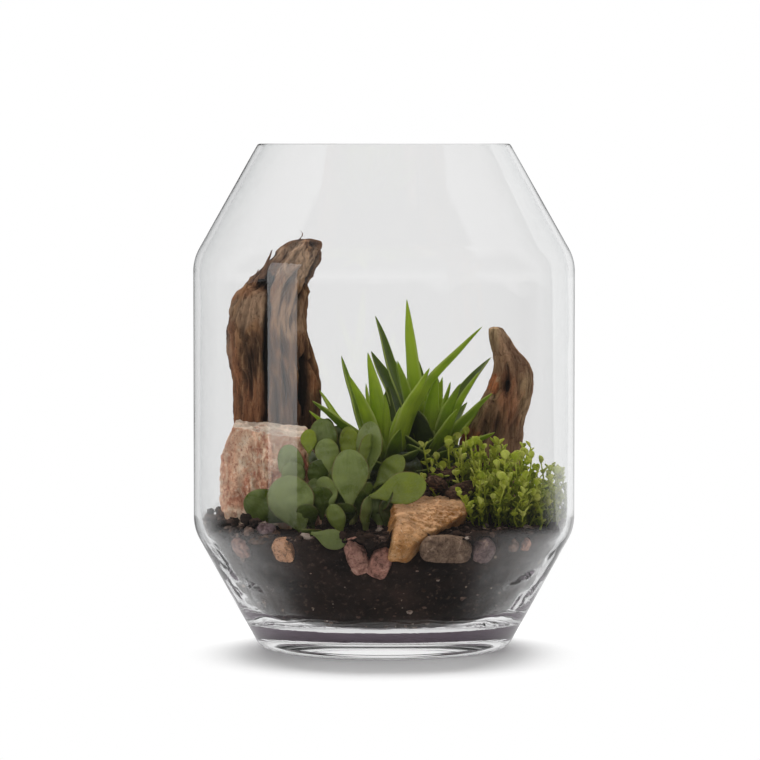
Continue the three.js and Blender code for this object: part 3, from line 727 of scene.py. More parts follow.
# each pebble has its own tone, with dark and pale blotches and fine dark specks
def pebbleStone():
    material, tree, shader, _ = startMaterial("pebbleStone", 0.85)
    place = objectPlace(tree)
    tones = [(0.0, "#6c5a60"), (0.3, "#75604f"), (0.6, "#8d6a5e"), (0.85, "#9c6f62"), (1.0, "#b98a68")]
    color = rampNode(tree, fieldNode(tree, "tone"), tones)
    broad = noiseNode(tree, place, 260, 6, 0.7, 0.6)
    color = mixColor(tree, rangeNode(tree, broad, 0.46, 0.62, 0, 0.75), color, "#3f302a")
    color = mixColor(tree, rangeNode(tree, broad, 0.44, 0.32, 0, 0.6), color, "#b89a86")
    specks = noiseNode(tree, place, 1100, 3, 0.6)
    color = mixColor(tree, rangeNode(tree, specks, 0.54, 0.7, 0, 0.7), color, "#33231d")
    dressShader(tree, shader, color, broad, (0.7, 0.92), bumpNode(tree, specks, 0.6, 0.4))
    return material


# flaky fibres, squashed in height, from near black to grey-brown
def darkBark():
    material, tree, shader, _ = startMaterial("darkBark", 0.92)
    fibre = noiseNode(tree, objectPlace(tree, (1, 1, 2.5)), 260, 6, 0.7, 0.6)
    color = rampNode(tree, fibre, [(0.35, "#1d130e"), (0.48, "#443025"), (0.6, "#6b5242"), (0.72, "#9a8271")])
    dressShader(tree, shader, color, fibre, (0.8, 0.98), bumpNode(tree, fibre, 0.9, 0.8))
    return material


# pebblePurple is the node pebble_purple
def nodeName(camel):
    return "".join("_" + letter.lower() if letter.isupper() else letter for letter in camel)


pebbleMaterial = pebbleStone()
barkMaterial = darkBark()
finishPiece(makeRock("redRock", redRock), redStone(), "red_stone", "red_rock")
finishPiece(makeRock("tanRock", tanRock), tanStone(), "tan_stone", "tan_rock")
for name, pebble in pebbles.items():
    finishPiece(makePebble(name, pebble), pebbleMaterial, "pebble_stone", nodeName(name))
for name, pebble in loosePebbles.items():
    finishPiece(makePebble(name, pebble, rows=40, columns=60), pebbleMaterial, "pebble_stone")
for name, piece in looseBark.items():
    made = makePebble(name, piece, roughness=1.0, sharpness=14, rows=60, columns=80)
    finishPiece(made, barkMaterial, "bark")
for name, piece in barkPieces.items():
    made = makePebble(name, piece, roughness=1.1, sharpness=14, gap=0.3)
    finishPiece(made, barkMaterial, "bark", nodeName(name))
print("stones and bark made")

# each cut is height, middle x, middle y, half width and half depth. Hollows and swellings are on the
# front (1) or the back (-1): side, x, height, half width, half height, lean in degrees and depth; stains
# end in their strength
tallDriftwood = {
    "cuts": [(52, -54, 14, 19, 15), (80, -54, 14, 20.5, 16), (106, -54, 14, 21.3, 16.5),
             (131, -54.5, 13, 21.9, 17), (150, -57.7, 12, 21.2, 16.5), (160, -58.4, 11, 19.5, 15),
             (170, -56.4, 11, 18, 14), (181, -52.7, 10, 16.2, 12.5), (188, -48.5, 9, 14.5, 11),
             (195, -43, 8, 12, 9), (199, -39.5, 8, 8.5, 6)],
    "tip": 2.6, "rows": 410, "columns": 240, "seed": 11, "grain": 1.0,
    "hollows": [(1, -58.4, 146, 1.7, 36, 2, 5), (1, -64, 186, 10, 6.5, 45, 4.2),
                (1, -38.4, 132, 3.0, 14, 4, 7), (1, -37.6, 181, 2.2, 9, 28, 3.5),
                (1, -36.2, 199, 2.2, 1.7, 0, 2.4), (1, -66, 138, 4.5, 15, 0, 2.2),
                (1, -72, 126, 0.9, 20, 2, 1.4), (1, -49, 126, 1.2, 24, -3, 2.2),
                (1, -70.5, 152, 0.8, 12, 6, 1.2), (-1, -50, 150, 3, 26, -6, 6),
                (-1, -64, 120, 2, 22, 4, 4), (-1, -44, 112, 5, 12, 0, 4), (-1, -58, 180, 6, 5, -20, 3)],
    "swells": [(1, -68, 166, 8, 12, 20, 3.4), (1, -44, 196, 8, 5, 30, 1.6), (1, -64, 118, 5, 26, 0, 1.6),
               (-1, -60, 150, 8, 22, 0, 2.2), (-1, -42, 130, 6, 16, 0, 2)],
    "pale": [(1, -66.5, 168, 9, 10, 30, 0.8), (1, -44, 192, 12, 9, 35, 1.0), (1, -47, 170, 8, 16, 0, 0.5),
             (1, -76, 145, 3, 30, 4, 0.5), (-1, -50, 180, 10, 14, 0, 0.7), (-1, -62, 110, 6, 20, 0, 0.5)],
    "red": [(1, -75, 132, 3, 32, 2, 0.9), (1, -61, 184, 6, 6, 40, 0.7), (1, -34, 138, 2.4, 12, 0, 0.7),
            (1, -64, 120, 7, 14, 0, 0.5), (1, -70, 176, 6, 3, 0, 0.6), (-1, -40, 150, 5, 20, 0, 0.6)],
    "dark": [(1, -65, 146, 8, 13, 8, 0.75), (1, -63, 187, 9, 5, 45, 0.8), (1, -54, 118, 4, 30, 0, 0.5),
             (1, -38, 118, 8, 9, 0, 0.35), (-1, -56, 134, 10, 18, 0, 0.6)],
}
shortDriftwood = {
    "cuts": [(52, 51.5, 20, 15.5, 12), (87, 52.3, 20, 16.6, 13), (102, 54.2, 19, 15.9, 12.5),
             (110, 56.3, 18, 14.5, 11.5), (122, 61, 17, 12.9, 10.5), (129, 63.4, 17, 11.8, 9.5),
             (136, 64.8, 17, 10.1, 8.5), (143, 62.7, 17, 7.9, 7), (148, 60, 17, 6.3, 5.6),
             (153, 57.8, 17, 5.3, 4.6), (157.5, 56, 17, 3.4, 3)],
    "tip": 1.0, "rows": 360, "columns": 200, "seed": 23, "grain": 0.6,
    "hollows": [(1, 58.3, 144.7, 4, 0.7, -4, 1.3), (1, 61.2, 133, 1.0, 10, 0, 2.0),
                (1, 61, 129, 1.8, 2.6, 20, 2.4), (1, 54.4, 124, 0.9, 1.2, 0, 2.2),
                (1, 54.1, 121.4, 1.0, 0.9, 0, 2), (1, 45.6, 119, 1.0, 6, 28, 2.2),
                (1, 66.6, 135, 0.8, 9, -3, 1.3), (1, 69, 125, 0.7, 11, -5, 1.1),
                (1, 56, 111, 1.3, 8, 6, 2.0), (1, 63, 116, 0.8, 10, 4, 1.2), (1, 50, 108, 3, 3.5, 0, 1.6),
                (-1, 60, 125, 1.6, 14, 4, 2.4), (-1, 52, 108, 2.2, 9, 0, 2.2),
                (-1, 67, 118, 1, 12, -4, 1.6)],
    "swells": [(1, 56, 126, 3.4, 6, 10, 0.9), (1, 71, 131, 4, 9, 0, 0.8), (1, 53, 151, 3, 5, 0, 0.5)],
    "pale": [(1, 55.4, 127.5, 2.8, 5, 10, 0.9), (1, 54.5, 152, 3.5, 7, 0, 0.6), (1, 47, 116, 3, 7, 28, 0.6),
             (1, 71, 122, 4, 14, -5, 0.45), (-1, 60, 140, 5, 10, 0, 0.6)],
    "red": [(1, 53.2, 132, 2.8, 6, -12, 1.0), (1, 42.4, 104, 5, 5, 0, 1.0), (1, 62, 122, 6, 14, 0, 0.35),
            (-1, 56, 118, 6, 10, 0, 0.6)],
    "dark": [(1, 61, 131, 2.2, 9, 0, 0.6), (1, 57, 110, 3, 7, 8, 0.6), (1, 68, 140, 3, 6, -30, 0.4)],
}


# an oval on one side of a log, ragged at its rim: one inside, falling to nought outside
def sidePatch(x, height, front, ragged, mark):
    side, atX, atHeight, halfWidth, halfHeight, lean, amount = mark
    c, d = math.cos(math.radians(lean)), math.sin(math.radians(lean))
    u, v = x - atX, height - atHeight
    distance = ((u * c - v * d) / halfWidth) ** 2 + ((u * d + v * c) / halfHeight) ** 2 + ragged
    return amount * smoothStep(1.5, 0.3, distance) * smoothStep(-0.15, 0.25, front * side)


# rings between the cuts; the radius takes ribs of noise drawn out along the grain, less each hollow and
# plus each swell
def makeDriftwood(name, wood):
    cuts = np.array(wood["cuts"], dtype=float)
    rows, columns = wood["rows"], wood["columns"]
    along = np.linspace(0, 1, rows)
    knots = (cuts[:, 0] - cuts[0, 0]) / (cuts[-1, 0] - cuts[0, 0])
    eased = 1 - (1 - along) ** 1.35  # more rings towards the top
    table = np.stack([smoothTable(knots, cuts[:, column], eased) for column in range(5)], axis=-1)
    closing = np.sqrt(np.clip(1 - smoothStep(0.965, 1.0, along) ** 2 * 0.9, 0, 1))
    height = table[:, 0] + wood["tip"] * smoothStep(0.93, 1, along)
    turn = np.arange(columns) / columns * 2 * math.pi
    h = height[:, None]
    unit = np.stack([np.cos(turn), np.sin(turn)], axis=-1)[None]
    lattice = np.stack([np.cos(turn)[None] * table[:, 3:4], np.sin(turn)[None] * table[:, 4:5],
                        h * 0.16 + np.zeros((1, columns))], axis=-1)
    ribs = layeredNoise(lattice, 7.5, wood["seed"], 4)
    fine = layeredNoise(lattice * np.array([1, 1, 0.7]), 2.2, wood["seed"] + 3, 3)
    lumps = noiseAt(lattice * np.array([1, 1, 3.5]), 15, wood["seed"] + 7)
    grooves = -np.abs(ribs) * 3.2 - np.abs(fine) * 0.9 + lumps * 0.9 + 0.7
    ragged = layeredNoise(lattice * np.array([1, 1, 2]), 5, wood["seed"] + 29, 3) * 0.9
    x = table[:, 1:2] + np.cos(turn)[None] * table[:, 3:4]
    front = -np.sin(turn)[None] + np.zeros_like(x)
    patches = {key: sum(sidePatch(x, h, front, ragged, mark) for mark in wood[key])
               for key in ("hollows", "swells", "pale", "red", "dark")}
    size = np.minimum(1, table[:, 3:4] / 12)
    change = (grooves * wood["grain"] + patches["swells"] * 0.8 - patches["hollows"]) * size
    radius = np.stack([table[:, 3:4] + change, table[:, 4:5] + change], axis=-1)
    radius = np.maximum(radius, 1.2) * closing[:, None, None]
    points = np.zeros((rows, columns, 3))
    points[..., :2] = table[:, None, 1:3] + unit * radius
    points[..., 2] = h + fine * 0.3
    keepInJar(points, 0.3)
    # the hollow field follows how deep the surface is carved in, for painted shade in the hollows
    fields = {"hollow": np.clip(-change / 5, 0, 1), "fibre": np.clip(np.abs(ribs) + np.abs(fine) * 0.5, 0, 1)}
    fields |= {key: np.clip(patches[key], 0, 1) for key in ("pale", "red", "dark")}
    return ringSurface(name, points * mm, fields=fields)


# tapered slivers of wood standing off the log, each from one point to another with a bend between
def makeSlivers(name, slivers, rows=10, columns=7):
    table = np.array(slivers, dtype=float)
    start, bend, end, thick = table[:, 0:3], table[:, 3:6], table[:, 6:9], table[:, 9]
    t = np.linspace(0, 1, rows)[None, :, None]
    middle = start[:, None] * (1 - t) ** 2 + 2 * bend[:, None] * t * (1 - t) + end[:, None] * t ** 2
    angle = np.arange(columns) / columns * 2 * math.pi
    ring = np.stack([np.cos(angle), 0.6 * np.sin(angle), np.zeros(columns)], axis=-1)
    size = thick[:, None, None, None] * (1.02 - t[..., None] * 0.9)
    shapes = middle[:, :, None] + ring * size
    shapes += layeredNoise(shapes, 1.5, 4, 2)[..., None] * 0.15
    levels = {"hollow": 0.1, "fibre": 0.4, "pale": 0.25, "red": 0.4, "dark": 0.2}
    fields = {field: np.full(shapes.shape[:3], level) for field, level in levels.items()}
    return stackSurface(name, shapes * mm, fields)


# streaks drawn out along the grain over broad patches; stains are washed over them, hollows and grooves
# are darkened as painted shade
def driftwood(name, look):
    material, tree, shader, _ = startMaterial(name, 0.85)
    streaks = noiseNode(tree, objectPlace(tree, (1.0, 1.0, 0.09)), 520, 6, 0.65, 0.4)
    broad = noiseNode(tree, objectPlace(tree, (1, 1, 0.35)), 42, 4, 0.6, 0.6)
    pits = noiseNode(tree, objectPlace(tree), 700, 3, 0.6)
    color = rampNode(tree, broad, look["tones"])
    for stain, strength in (("pale", 0.85), ("red", 0.8), ("dark", 0.85)):
        wash = mathNode(tree, "MULTIPLY", fieldNode(tree, stain), strength)
        color = mixColor(tree, wash, color, look[stain])
    color = mixColor(tree, rangeNode(tree, streaks, 0.5, 0.64, 0, 0.7), color, look["darkGrainAndGrooveShade"])
    color = mixColor(tree, rangeNode(tree, streaks, 0.45, 0.34, 0, 0.42), color, look["paleStreak"])
    color = mixColor(tree, rangeNode(tree, pits, 0.56, 0.7, 0, 0.5), color, look["darkGrainAndGrooveShade"])
    # painted shade: the grooves between the fibres are darkened
    grooveShade = rangeNode(tree, fieldNode(tree, "fibre"), 0.25, 0.75, 0, 0.55)
    color = mixColor(tree, grooveShade, color, look["darkGrainAndGrooveShade"])
    # painted shade: the hollows go nearly black
    hollow = rangeNode(tree, fieldNode(tree, "hollow"), 0.2, 0.75, 0, 0.92)
    color = mixColor(tree, hollow, color, look["hollow"])
    relief = bumpNode(tree, pits, 0.4, 0.35, bumpNode(tree, streaks, 0.9, 0.7))
    dressShader(tree, shader, color, streaks, (0.7, 0.95), relief)
    return material


# each look's hollow color is painted shade, and its dark grain color also paints the grooves' shade
tallLook = {
    "tones": [(0.3, "#4c3220"), (0.45, "#745138"), (0.58, "#8f6a4b"), (0.72, "#a5835f")],
    "pale": "#b4967a", "red": "#96603f", "dark": "#33261a", "darkGrainAndGrooveShade": "#2c1a0f", "paleStreak": "#b08c66",
    "hollow": "#0b0705",
}
shortLook = {
    "tones": [(0.3, "#6b4f3a"), (0.45, "#8f6d53"), (0.58, "#a38164"), (0.72, "#b09476")],
    "pale": "#b89f77", "red": "#b05f34", "dark": "#3f2a1c", "darkGrainAndGrooveShade": "#432b1c", "paleStreak": "#b89a7c",
    "hollow": "#120b07",
}
slivers = [
    (-62, 6, 183, -59.5, 5, 190, -55.6, 4, 196.6, 1.9), (-61, 4, 183, -59, 2, 188, -56.5, 1, 193, 1.7),
    (-58, 8, 187, -56, 8, 192, -52.5, 7, 196.5, 1.6), (-65, 4, 178, -63.5, 1, 183, -61, -1, 188, 1.6),
    (-66, 6, 178, -65, 5, 184, -62.5, 5, 189, 1.5),
    (-43, 6, 200.5, -41, 5, 203, -40.8, 5, 203.4, 0.5), (-40.9, 5, 203, -40, 5, 205.6, -42.4, 5, 206.2, 0.32),
]
tallWood = driftwood("tallWood", tallLook)
shortWood = driftwood("shortWood", shortLook)
finishPiece(makeDriftwood("tallDriftwood", tallDriftwood), tallWood, "driftwood", "driftwood_tall")
finishPiece(makeDriftwood("shortDriftwood", shortDriftwood), shortWood, "driftwood", "driftwood_short")
finishPiece(makeSlivers("driftwoodSlivers", slivers), tallWood, "driftwood")
print("driftwood made")

rosetteCrowns = {"left": (2, -12, 96), "right": (22, 3, 98)}
rootstock = {
    "path": [(2, -12, 96), (2, -12, 82), (5, -9.8, 76.5), (19, 0.8, 76.5), (22, 3, 82), (22, 3, 98)],
    "radius": 2.2,
}
# each leaf is azimuth, lean, reach, arch, width and tone, from 0 dark to 1 bright
# the tones are partly the leaves' own green and partly painted light and shade: lit leaves bright, shaded
# ones dark
rosetteLeaves = {
    "left": [(320, 24, 55, 12, 12, 0.9), (232, 12, 57, 3, 11, 0.9), (222, 25, 52, 5, 11.5, 0.8),
             (148, 22, 59, -12, 9, 0.6), (335, 33, 86, 22, 12, 0.75), (215, 47, 56, 14, 12.5, 0.35),
             (150, 42, 54, 0, 8, 0.95), (205, 49, 51, 5, 9.5, 0.95)],
    "right": [(220, 7, 79, -5, 12, 1.0), (110, 17, 55, 0, 11, 0.2), (250, 9, 40, 0, 10, 0.8),
              (315, 23, 43, 3, 11.5, 0.6), (60, 14, 41, 0, 8, 0.9), (225, 19, 53, 0, 10, 0.8),
              (145, 22, 77, 6, 12, 0.2), (245, 22, 29, 0, 17, 0.0), (140, 31, 64, 0, 17, 0.0),
              (38, 35, 64, 20, 14, 0.12), (335, 39, 48, 12, 12, 0.6), (22, 40, 43, 5, 9, 0.95),
              (325, 58, 41, 8, 11, 0.65), (268, 62, 20, 0, 15, 0.0)],
}
# smaller leaves that fill the hearts; those lying low in shade get tones near nought, painted shade
heartLeaves = {
    "left": [(262, 10, 35, 0, 6, 0.9), (300, 14, 30, 0, 7, 0.95), (180, 10, 40, 2, 8, 0.8),
             (30, 20, 44, 5, 9, 0.2), (90, 30, 46, 0, 12, 0.05), (250, 62, 26, 0, 12, 0.0),
             (205, 64, 30, 0, 12, 0.1), (285, 40, 30, 6, 9, 0.3), (310, 52, 24, 0, 14, 0.05),
             (350, 46, 26, 0, 13, 0.05), (330, 70, 22, 0, 13, 0.0)],
    "right": [(290, 12, 34, 0, 9, 0.8), (0, 10, 38, 4, 9, 0.8), (180, 14, 50, 3, 10, 0.5),
              (80, 26, 48, 5, 13, 0.1), (55, 45, 44, 12, 11, 0.2), (300, 38, 38, 5, 10, 0.7),
              (280, 22, 47, 4, 10, 0.75), (345, 26, 50, 10, 10, 0.85), (190, 40, 44, 6, 12, 0.1),
              (240, 48, 28, 0, 13, 0.05), (250, 58, 30, 0, 14, 0.05), (222, 62, 32, 0, 13, 0.05),
              (205, 50, 30, 0, 13, 0.1), (290, 60, 26, 4, 12, 0.3)],
}
rosetteBase = {"outwards": 4.2, "belowTop": 2, "dropPerDegree": 0.16, "thickness": 3.2, "cup": 0.36}


# widest a little above the base, then tapering to a point
def pointedHalfWidth(along, width):
    toTip = np.minimum(1, (1 - along) / 0.8)
    base = np.minimum(1, 0.72 + 1.4 * along)
    return width / 2 * base * (1 - (1 - toTip) ** 2) ** 0.85


# a narrow stalk that opens into a blade, widest well up, with a round end
def roundHalfWidth(along, width):
    broad = 0.6
    opening = 0.16 + 0.84 * (0.5 - 0.5 * np.cos(math.pi * np.minimum(along / broad, 1)))
    end = np.sqrt(np.clip(1 - (np.maximum(along - broad, 0) / (1 - broad)) ** 2, 0, 1))
    return width / 2 * np.where(along < broad, opening, end)


# the middle line drifts by the square of the way along; round it goes a lens, flat above and keeled
# below, whose edges lift by the cup, with a slow sideways waver
def leafRings(reach, arch, width, thickness, cup, halfWidth, seed, rows=44, columns=24, keel=0.45):
    even = np.linspace(0, 1, rows)
    along = np.clip(0.7 * (1 - np.cos(even * math.pi)) / 2 + 0.3 * even, 0, 0.9985)
    rise, drift = reach * math.cos(math.radians(arch)), reach * math.sin(math.radians(arch))
    slope = np.arctan2(2 * drift * along, rise)[:, None]
    across = halfWidth(along, width)[:, None]
    through = (thickness / 2 * np.sqrt(1 - along ** 3))[:, None] + 0.06
    through = np.minimum(through, across * 0.9 + 0.05)
    angle = (np.arange(columns) / columns * 2 * math.pi)[None, :]
    lens = np.cos(angle) * np.where(np.cos(angle) > 0, 1, keel)
    sidePart = np.sin(angle)
    outwards = lens * through - cup * across * np.abs(sidePart) ** 1.7
    waverLine = np.stack([along * 2.2 + seed, along * 0 + seed * 0.37, along * 0], axis=-1)
    waver = noiseAt(waverLine, 1.0, seed)[:, None]
    waverPlace = np.broadcast_arrays(along[:, None] * 5 + seed, sidePart * 0.8, np.zeros((1, 1)))
    ripple = noiseAt(np.stack(waverPlace, axis=-1), 1.0, seed + 4)
    outwards = outwards + ripple * across * 0.1
    points = np.stack([drift * along[:, None] ** 2 + outwards * np.cos(slope) + waver * reach * 0.02,
                       sidePart * across + waver * reach * 0.03 * along[:, None],
                       rise * along[:, None] - outwards * np.sin(slope)], axis=-1)
    fields = {"along": along[:, None] + np.zeros_like(angle), "across": sidePart + np.zeros_like(across)}
    return points, fields


# a round tube along a curve whose coordinates are smoothed through the path's points
def makeStem(name, stem, seed, rows=120, columns=20):
    path = np.array(stem["path"], dtype=float)
    apart = np.linalg.norm(np.diff(path, axis=0), axis=1)
    knots = np.concatenate([[0], np.cumsum(apart)]) / apart.sum()
    along = np.linspace(0, 1, rows)
    middle = np.stack([smoothTable(knots, path[:, axis], along) for axis in range(3)], axis=-1)
    tangent = np.gradient(middle, axis=0)
    tangent /= np.linalg.norm(tangent, axis=1, keepdims=True)
    side = np.cross(tangent, np.array([0.35, 0.93, 0.05]))
    side /= np.linalg.norm(side, axis=1, keepdims=True)
    other = np.cross(tangent, side)
    angle = (np.arange(columns) / columns * 2 * math.pi)[None, :, None]
    size = stem["radius"] * (1 + 0.08 * np.cos(along * 160))[:, None, None]
    points = middle[:, None] + (np.cos(angle) * side[:, None] + np.sin(angle) * other[:, None]) * size
    points += layeredNoise(points, 3, seed, 2)[..., None] * 0.2
    return ringSurface(name, points * mm)


# the leaf's tone gives its green; thin streaks run up it, the base is paler, the margin takes its own
# color and what stands low is darkened as painted shade. Light that comes through is warmer and
# brighter than what is reflected
def leafMaterial(name, look):
    material, tree, shader, output = startMaterial(name, look["roughness"], look["shine"])
    place = objectPlace(tree)
    cloudy = noiseNode(tree, place, 110, 4, 0.55)
    fine = noiseNode(tree, place, 900, 3, 0.6)
    across, along = fieldNode(tree, "across"), fieldNode(tree, "along")
    tone = fieldNode(tree, "tone")
    lengthwise = addNode(tree, "CombineXYZ", {0: mathNode(tree, "MULTIPLY", across, 6.0), 1: along, 2: tone})
    streaks = noiseNode(tree, lengthwise.outputs[0], 1.6, 3, 0.6)
    shade = mathNode(tree, "ADD", tone, rangeNode(tree, cloudy, 0.3, 0.7, -0.14, 0.14))
    streakShade = rangeNode(tree, streaks, 0.3, 0.7, -look["streaks"], look["streaks"])
    shade = mathNode(tree, "ADD", shade, streakShade, clamp=True)
    color = rampNode(tree, shade, look["greens"])
    color = mixColor(tree, rangeNode(tree, along, 0.0, 0.28, look["paleBase"], 0.0), color, look["baseColor"])
    color = mixColor(tree, rangeNode(tree, fine, 0.45, 0.7, 0, look["bloom"]), color, look["bloomColor"])
    margin = rangeNode(tree, mathNode(tree, "ABSOLUTE", across), look["marginFrom"], 1.0)
    margin = mathNode(tree, "MULTIPLY", margin, rangeNode(tree, along, 0.2, 0.5, 0.3, 1.0))
    color = mixColor(tree, margin, color, look["marginColor"])
    # painted shade: parts of the cluster that stand low are darker
    dim = rangeNode(tree, partNode(tree, place, "Z"), look["dimFrom"], look["dimTo"], look["dimmest"], 1.0)
    color = shadeColor(tree, color, dim)
    relief = bumpNode(tree, cloudy, 0.25, 0.6, bumpNode(tree, streaks, 0.3, 0.5))
    relief = bumpNode(tree, fine, 0.12, 0.15, relief)
    roughness = (look["roughness"] - 0.08, look["roughness"] + 0.1)
    dressShader(tree, shader, color, cloudy, roughness, relief)
    glow = mixColor(tree, 0.7, color, look["throughColor"])
    through = addNode(tree, "BsdfTranslucent", {"Color": glow, "Normal": relief})
    blendShader(tree, output, look["through"], shader, through)
    return material


# olive fibres drawn out upwards
def stemMaterial():
    material, tree, shader, _ = startMaterial("plantStem", 0.7)
    fibre = noiseNode(tree, objectPlace(tree, (1, 1, 0.3)), 300, 4, 0.6)
    color = rampNode(tree, fibre, [(0.35, "#4b4a26"), (0.55, "#71703f"), (0.7, "#8f8c60")])
    dressShader(tree, shader, color, fibre, (0.6, 0.8), bumpNode(tree, fibre, 0.5, 0.4))
    return material


rosetteLook = {
    "greens": [(0.0, "#313a12"), (0.3, "#4d5b18"), (0.65, "#768a1f"), (1.0, "#a2b52c")],
    "roughness": 0.4, "shine": 0.35,
    "streaks": 0.1, "paleBase": 0.3, "baseColor": "#a3a95c", "bloom": 0.06, "bloomColor": "#a3ad84",
    "dimFrom": 0.08, "dimTo": 0.105, "dimmest": 0.6, "marginFrom": 0.84, "marginColor": "#b8c268",
    "throughColor": "#bcd90a", "through": 0.36,
}
rosetteGreen = leafMaterial("rosetteGreen", rosetteLook)
stemGreen = stemMaterial()


# the leaf stands round its crown, further down the more it leans
def rosetteLeaf(side, leaf, seed):
    azimuth, lean, reach, arch, width, tone = leaf
    around = math.radians(azimuth)
    out = rosetteBase["outwards"]
    drop = rosetteBase["belowTop"] + rosetteBase["dropPerDegree"] * lean
    base = rosetteCrowns[side] + np.array([out * math.cos(around), out * math.sin(around), -drop])
    thickness, cup = rosetteBase["thickness"], rosetteBase["cup"]
    rings, fields = leafRings(reach, arch, width, thickness, cup, pointedHalfWidth, seed)
    fields["tone"] = np.full(rings.shape[:2], tone)
    return rings @ poseMatrix(azimuth, lean - arch).T + base, fields


# leaves given as lists of rings and of fields, put into one mesh
def leafCluster(name, leaves):
    rings = keepInJar(np.stack([points for points, fields in leaves]), 0.4)
    fields = {key: np.stack([own[key] for points, own in leaves]) for key in leaves[0][1]}
    return stackSurface(name, rings * mm, fields)


finishPiece(makeStem("rosetteCrowns", rootstock, 3), stemGreen, "rosette_leaf", "rosette_crowns")
for side, leaves in rosetteLeaves.items():
    for index, leaf in enumerate(leaves):
        number = f"{index + 1:02d}"
        made = leafCluster("rosetteLeaf" + side.capitalize() + number, [rosetteLeaf(side, leaf, index + 3)])
        finishPiece(made, rosetteGreen, "rosette_leaf", f"rosette_leaf_{side}_{number}")
for side, leaves in heartLeaves.items():
    made = [rosetteLeaf(side, leaf, index + 60) for index, leaf in enumerate(leaves)]
    finishPiece(leafCluster("heartLeaves" + side.capitalize(), made), rosetteGreen, "rosette_leaf")
print("rosettes made")

succulentStem = {
    "path": [(-41, -50, 78), (-38.5, -50, 63), (-35, -49.4, 57.5), (-19, -46.6, 57.5), (-16, -46, 63),
             (-15, -44, 94)],
    "radius": 1.8,
}
# each leaf is its base, its azimuth, lean and roll, its reach, width and tone
# the tones are partly the leaves' own green and partly painted light and shade: lit leaves bright, shaded
# ones dark
succulentLeaves = [
    ((-16.5, -58, 73), (270, 8, 0), 30, 18, 0.5), ((-38.5, -57, 60), (180, 20, 80), 31, 23, 0.45),
    ((-44, -46, 66), (180, 62, 75), 26, 18, 0.3), ((-42, -45, 79), (200, 12, 80), 17, 12, 0.5),
    ((-35, -39, 84), (110, 8, 50), 17, 13, 0.45), ((-34, -46, 68), (40, 10, 50), 20, 12, 0.35),
    ((-26, -33, 88), (120, 8, 20), 28, 13, 0.4), ((-24, -41, 82), (230, 14, 40), 20, 13, 0.4),
    ((-18, -34, 95), (60, 5, 60), 17, 11, 0.9), ((-8, -42, 87), (350, 4, 70), 28, 15, 0.55),
    ((-5, -38, 82), (0, 42, 75), 21, 11, 0.8), ((-7, -54, 79), (0, 76, 85), 28, 16, 0.8),
    ((-27, -52, 69), (190, 6, 50), 20, 13, 0.6), ((-20, -60, 60), (200, 18, 60), 17, 9, 0.7),
    ((-9, -55, 60), (300, 8, 30), 20, 11, 0.45), ((-24, -66, 60.5), (200, 78, 20), 17, 10, 0.4),
    ((-35, -33, 74), (120, 5, 0), 22, 13, 0.1), ((-2, -45, 63), (20, 14, 60), 22, 12, 0.15),
]
# leaves further in, which fill the gaps; the broad upright ones of tone near nought at the back are dark
# sheets of leaf put there as painted shade
innerLeaves = [
    ((-30, -50, 68), (260, 25, 10), 18, 13, 0.25), ((-23, -47, 76), (300, 20, -30), 20, 13, 0.3),
    ((-12, -49, 70), (290, 30, 20), 19, 12, 0.2), ((-38, -45, 70), (230, 30, 40), 18, 13, 0.3),
    ((-30, -41, 79), (250, 15, 20), 18, 13, 0.2), ((-10, -44, 92), (300, 15, 30), 18, 12, 0.65),
    ((-19, -50, 64), (270, 42, 0), 17, 11, 0.15), ((-6, -48, 69), (330, 40, 60), 18, 12, 0.15),
    ((-34, -52, 63), (240, 38, 30), 16, 11, 0.15), ((-26, -45, 90), (200, 10, 60), 17, 12, 0.55),
    ((-15, -41, 84), (90, 30, 0), 22, 14, 0.15), ((-38, -40, 76), (150, 40, 30), 20, 13, 0.2),
    ((-12, -36, 70), (45, 45, 0), 20, 13, 0.2), ((-27, -38, 72), (100, 50, 0), 22, 14, 0.25),
    ((-34.5, -83, 64.2), (-4, 106, 90), 17, 9.5, 0.5), ((-21, -28, 64), (0, 0, 90), 26, 18, 0.05),
    ((-6, -28, 68), (0, 5, 90), 24, 18, 0.05), ((10, -24, 72), (0, 0, 90), 27, 18, 0.0),
    ((33, -14, 74), (0, 0, 90), 28, 20, 0.0), ((-36.5, -40, 98), (0, 0, 90), 13, 8, 0.95),
    ((2, -52, 60), (0, 14, 100), 21, 16, 0.1), ((-1, -50, 62), (180, 10, 80), 17, 10, 0.3),
    ((-43, -43, 80), (180, 10, 80), 24, 13, 0.5), ((-23, -28, 86), (0, 0, 90), 26, 13, 0.35),
    ((-29.5, -37, 93), (0, 0, 85), 23, 14, 0.4), ((-17.5, -35, 91), (0, 4, 95), 20, 10, 0.95),
]
succulentBlade = {"thickness": 2.2, "cup": 0.13}
succulentLook = {
    "greens": [(0.0, "#2d380f"), (0.28, "#55641a"), (0.52, "#84904f"), (0.78, "#7e8b2a"), (1.0, "#8e9b1c")],
    "roughness": 0.3, "shine": 0.55, "streaks": 0.05, "paleBase": 0.3, "baseColor": "#8f9655", "bloom": 0.2,
    "bloomColor": "#98a277", "dimFrom": 0.058, "dimTo": 0.08, "dimmest": 0.58,
    "marginFrom": 0.95, "marginColor": "#6f4330", "throughColor": "#a9c61a", "through": 0.22,
}
succulentGreen = leafMaterial("succulentGreen", succulentLook)


def succulentLeaf(leaf, seed):
    base, pose, reach, width, tone = leaf
    thickness, cup = succulentBlade["thickness"], succulentBlade["cup"]
    rings, fields = leafRings(reach, 0, width, thickness, cup, roundHalfWidth, seed, 48, 32, 0.8)
    fields["tone"] = np.full(rings.shape[:2], tone)
    return rings @ poseMatrix(*pose).T + np.array(base), fields


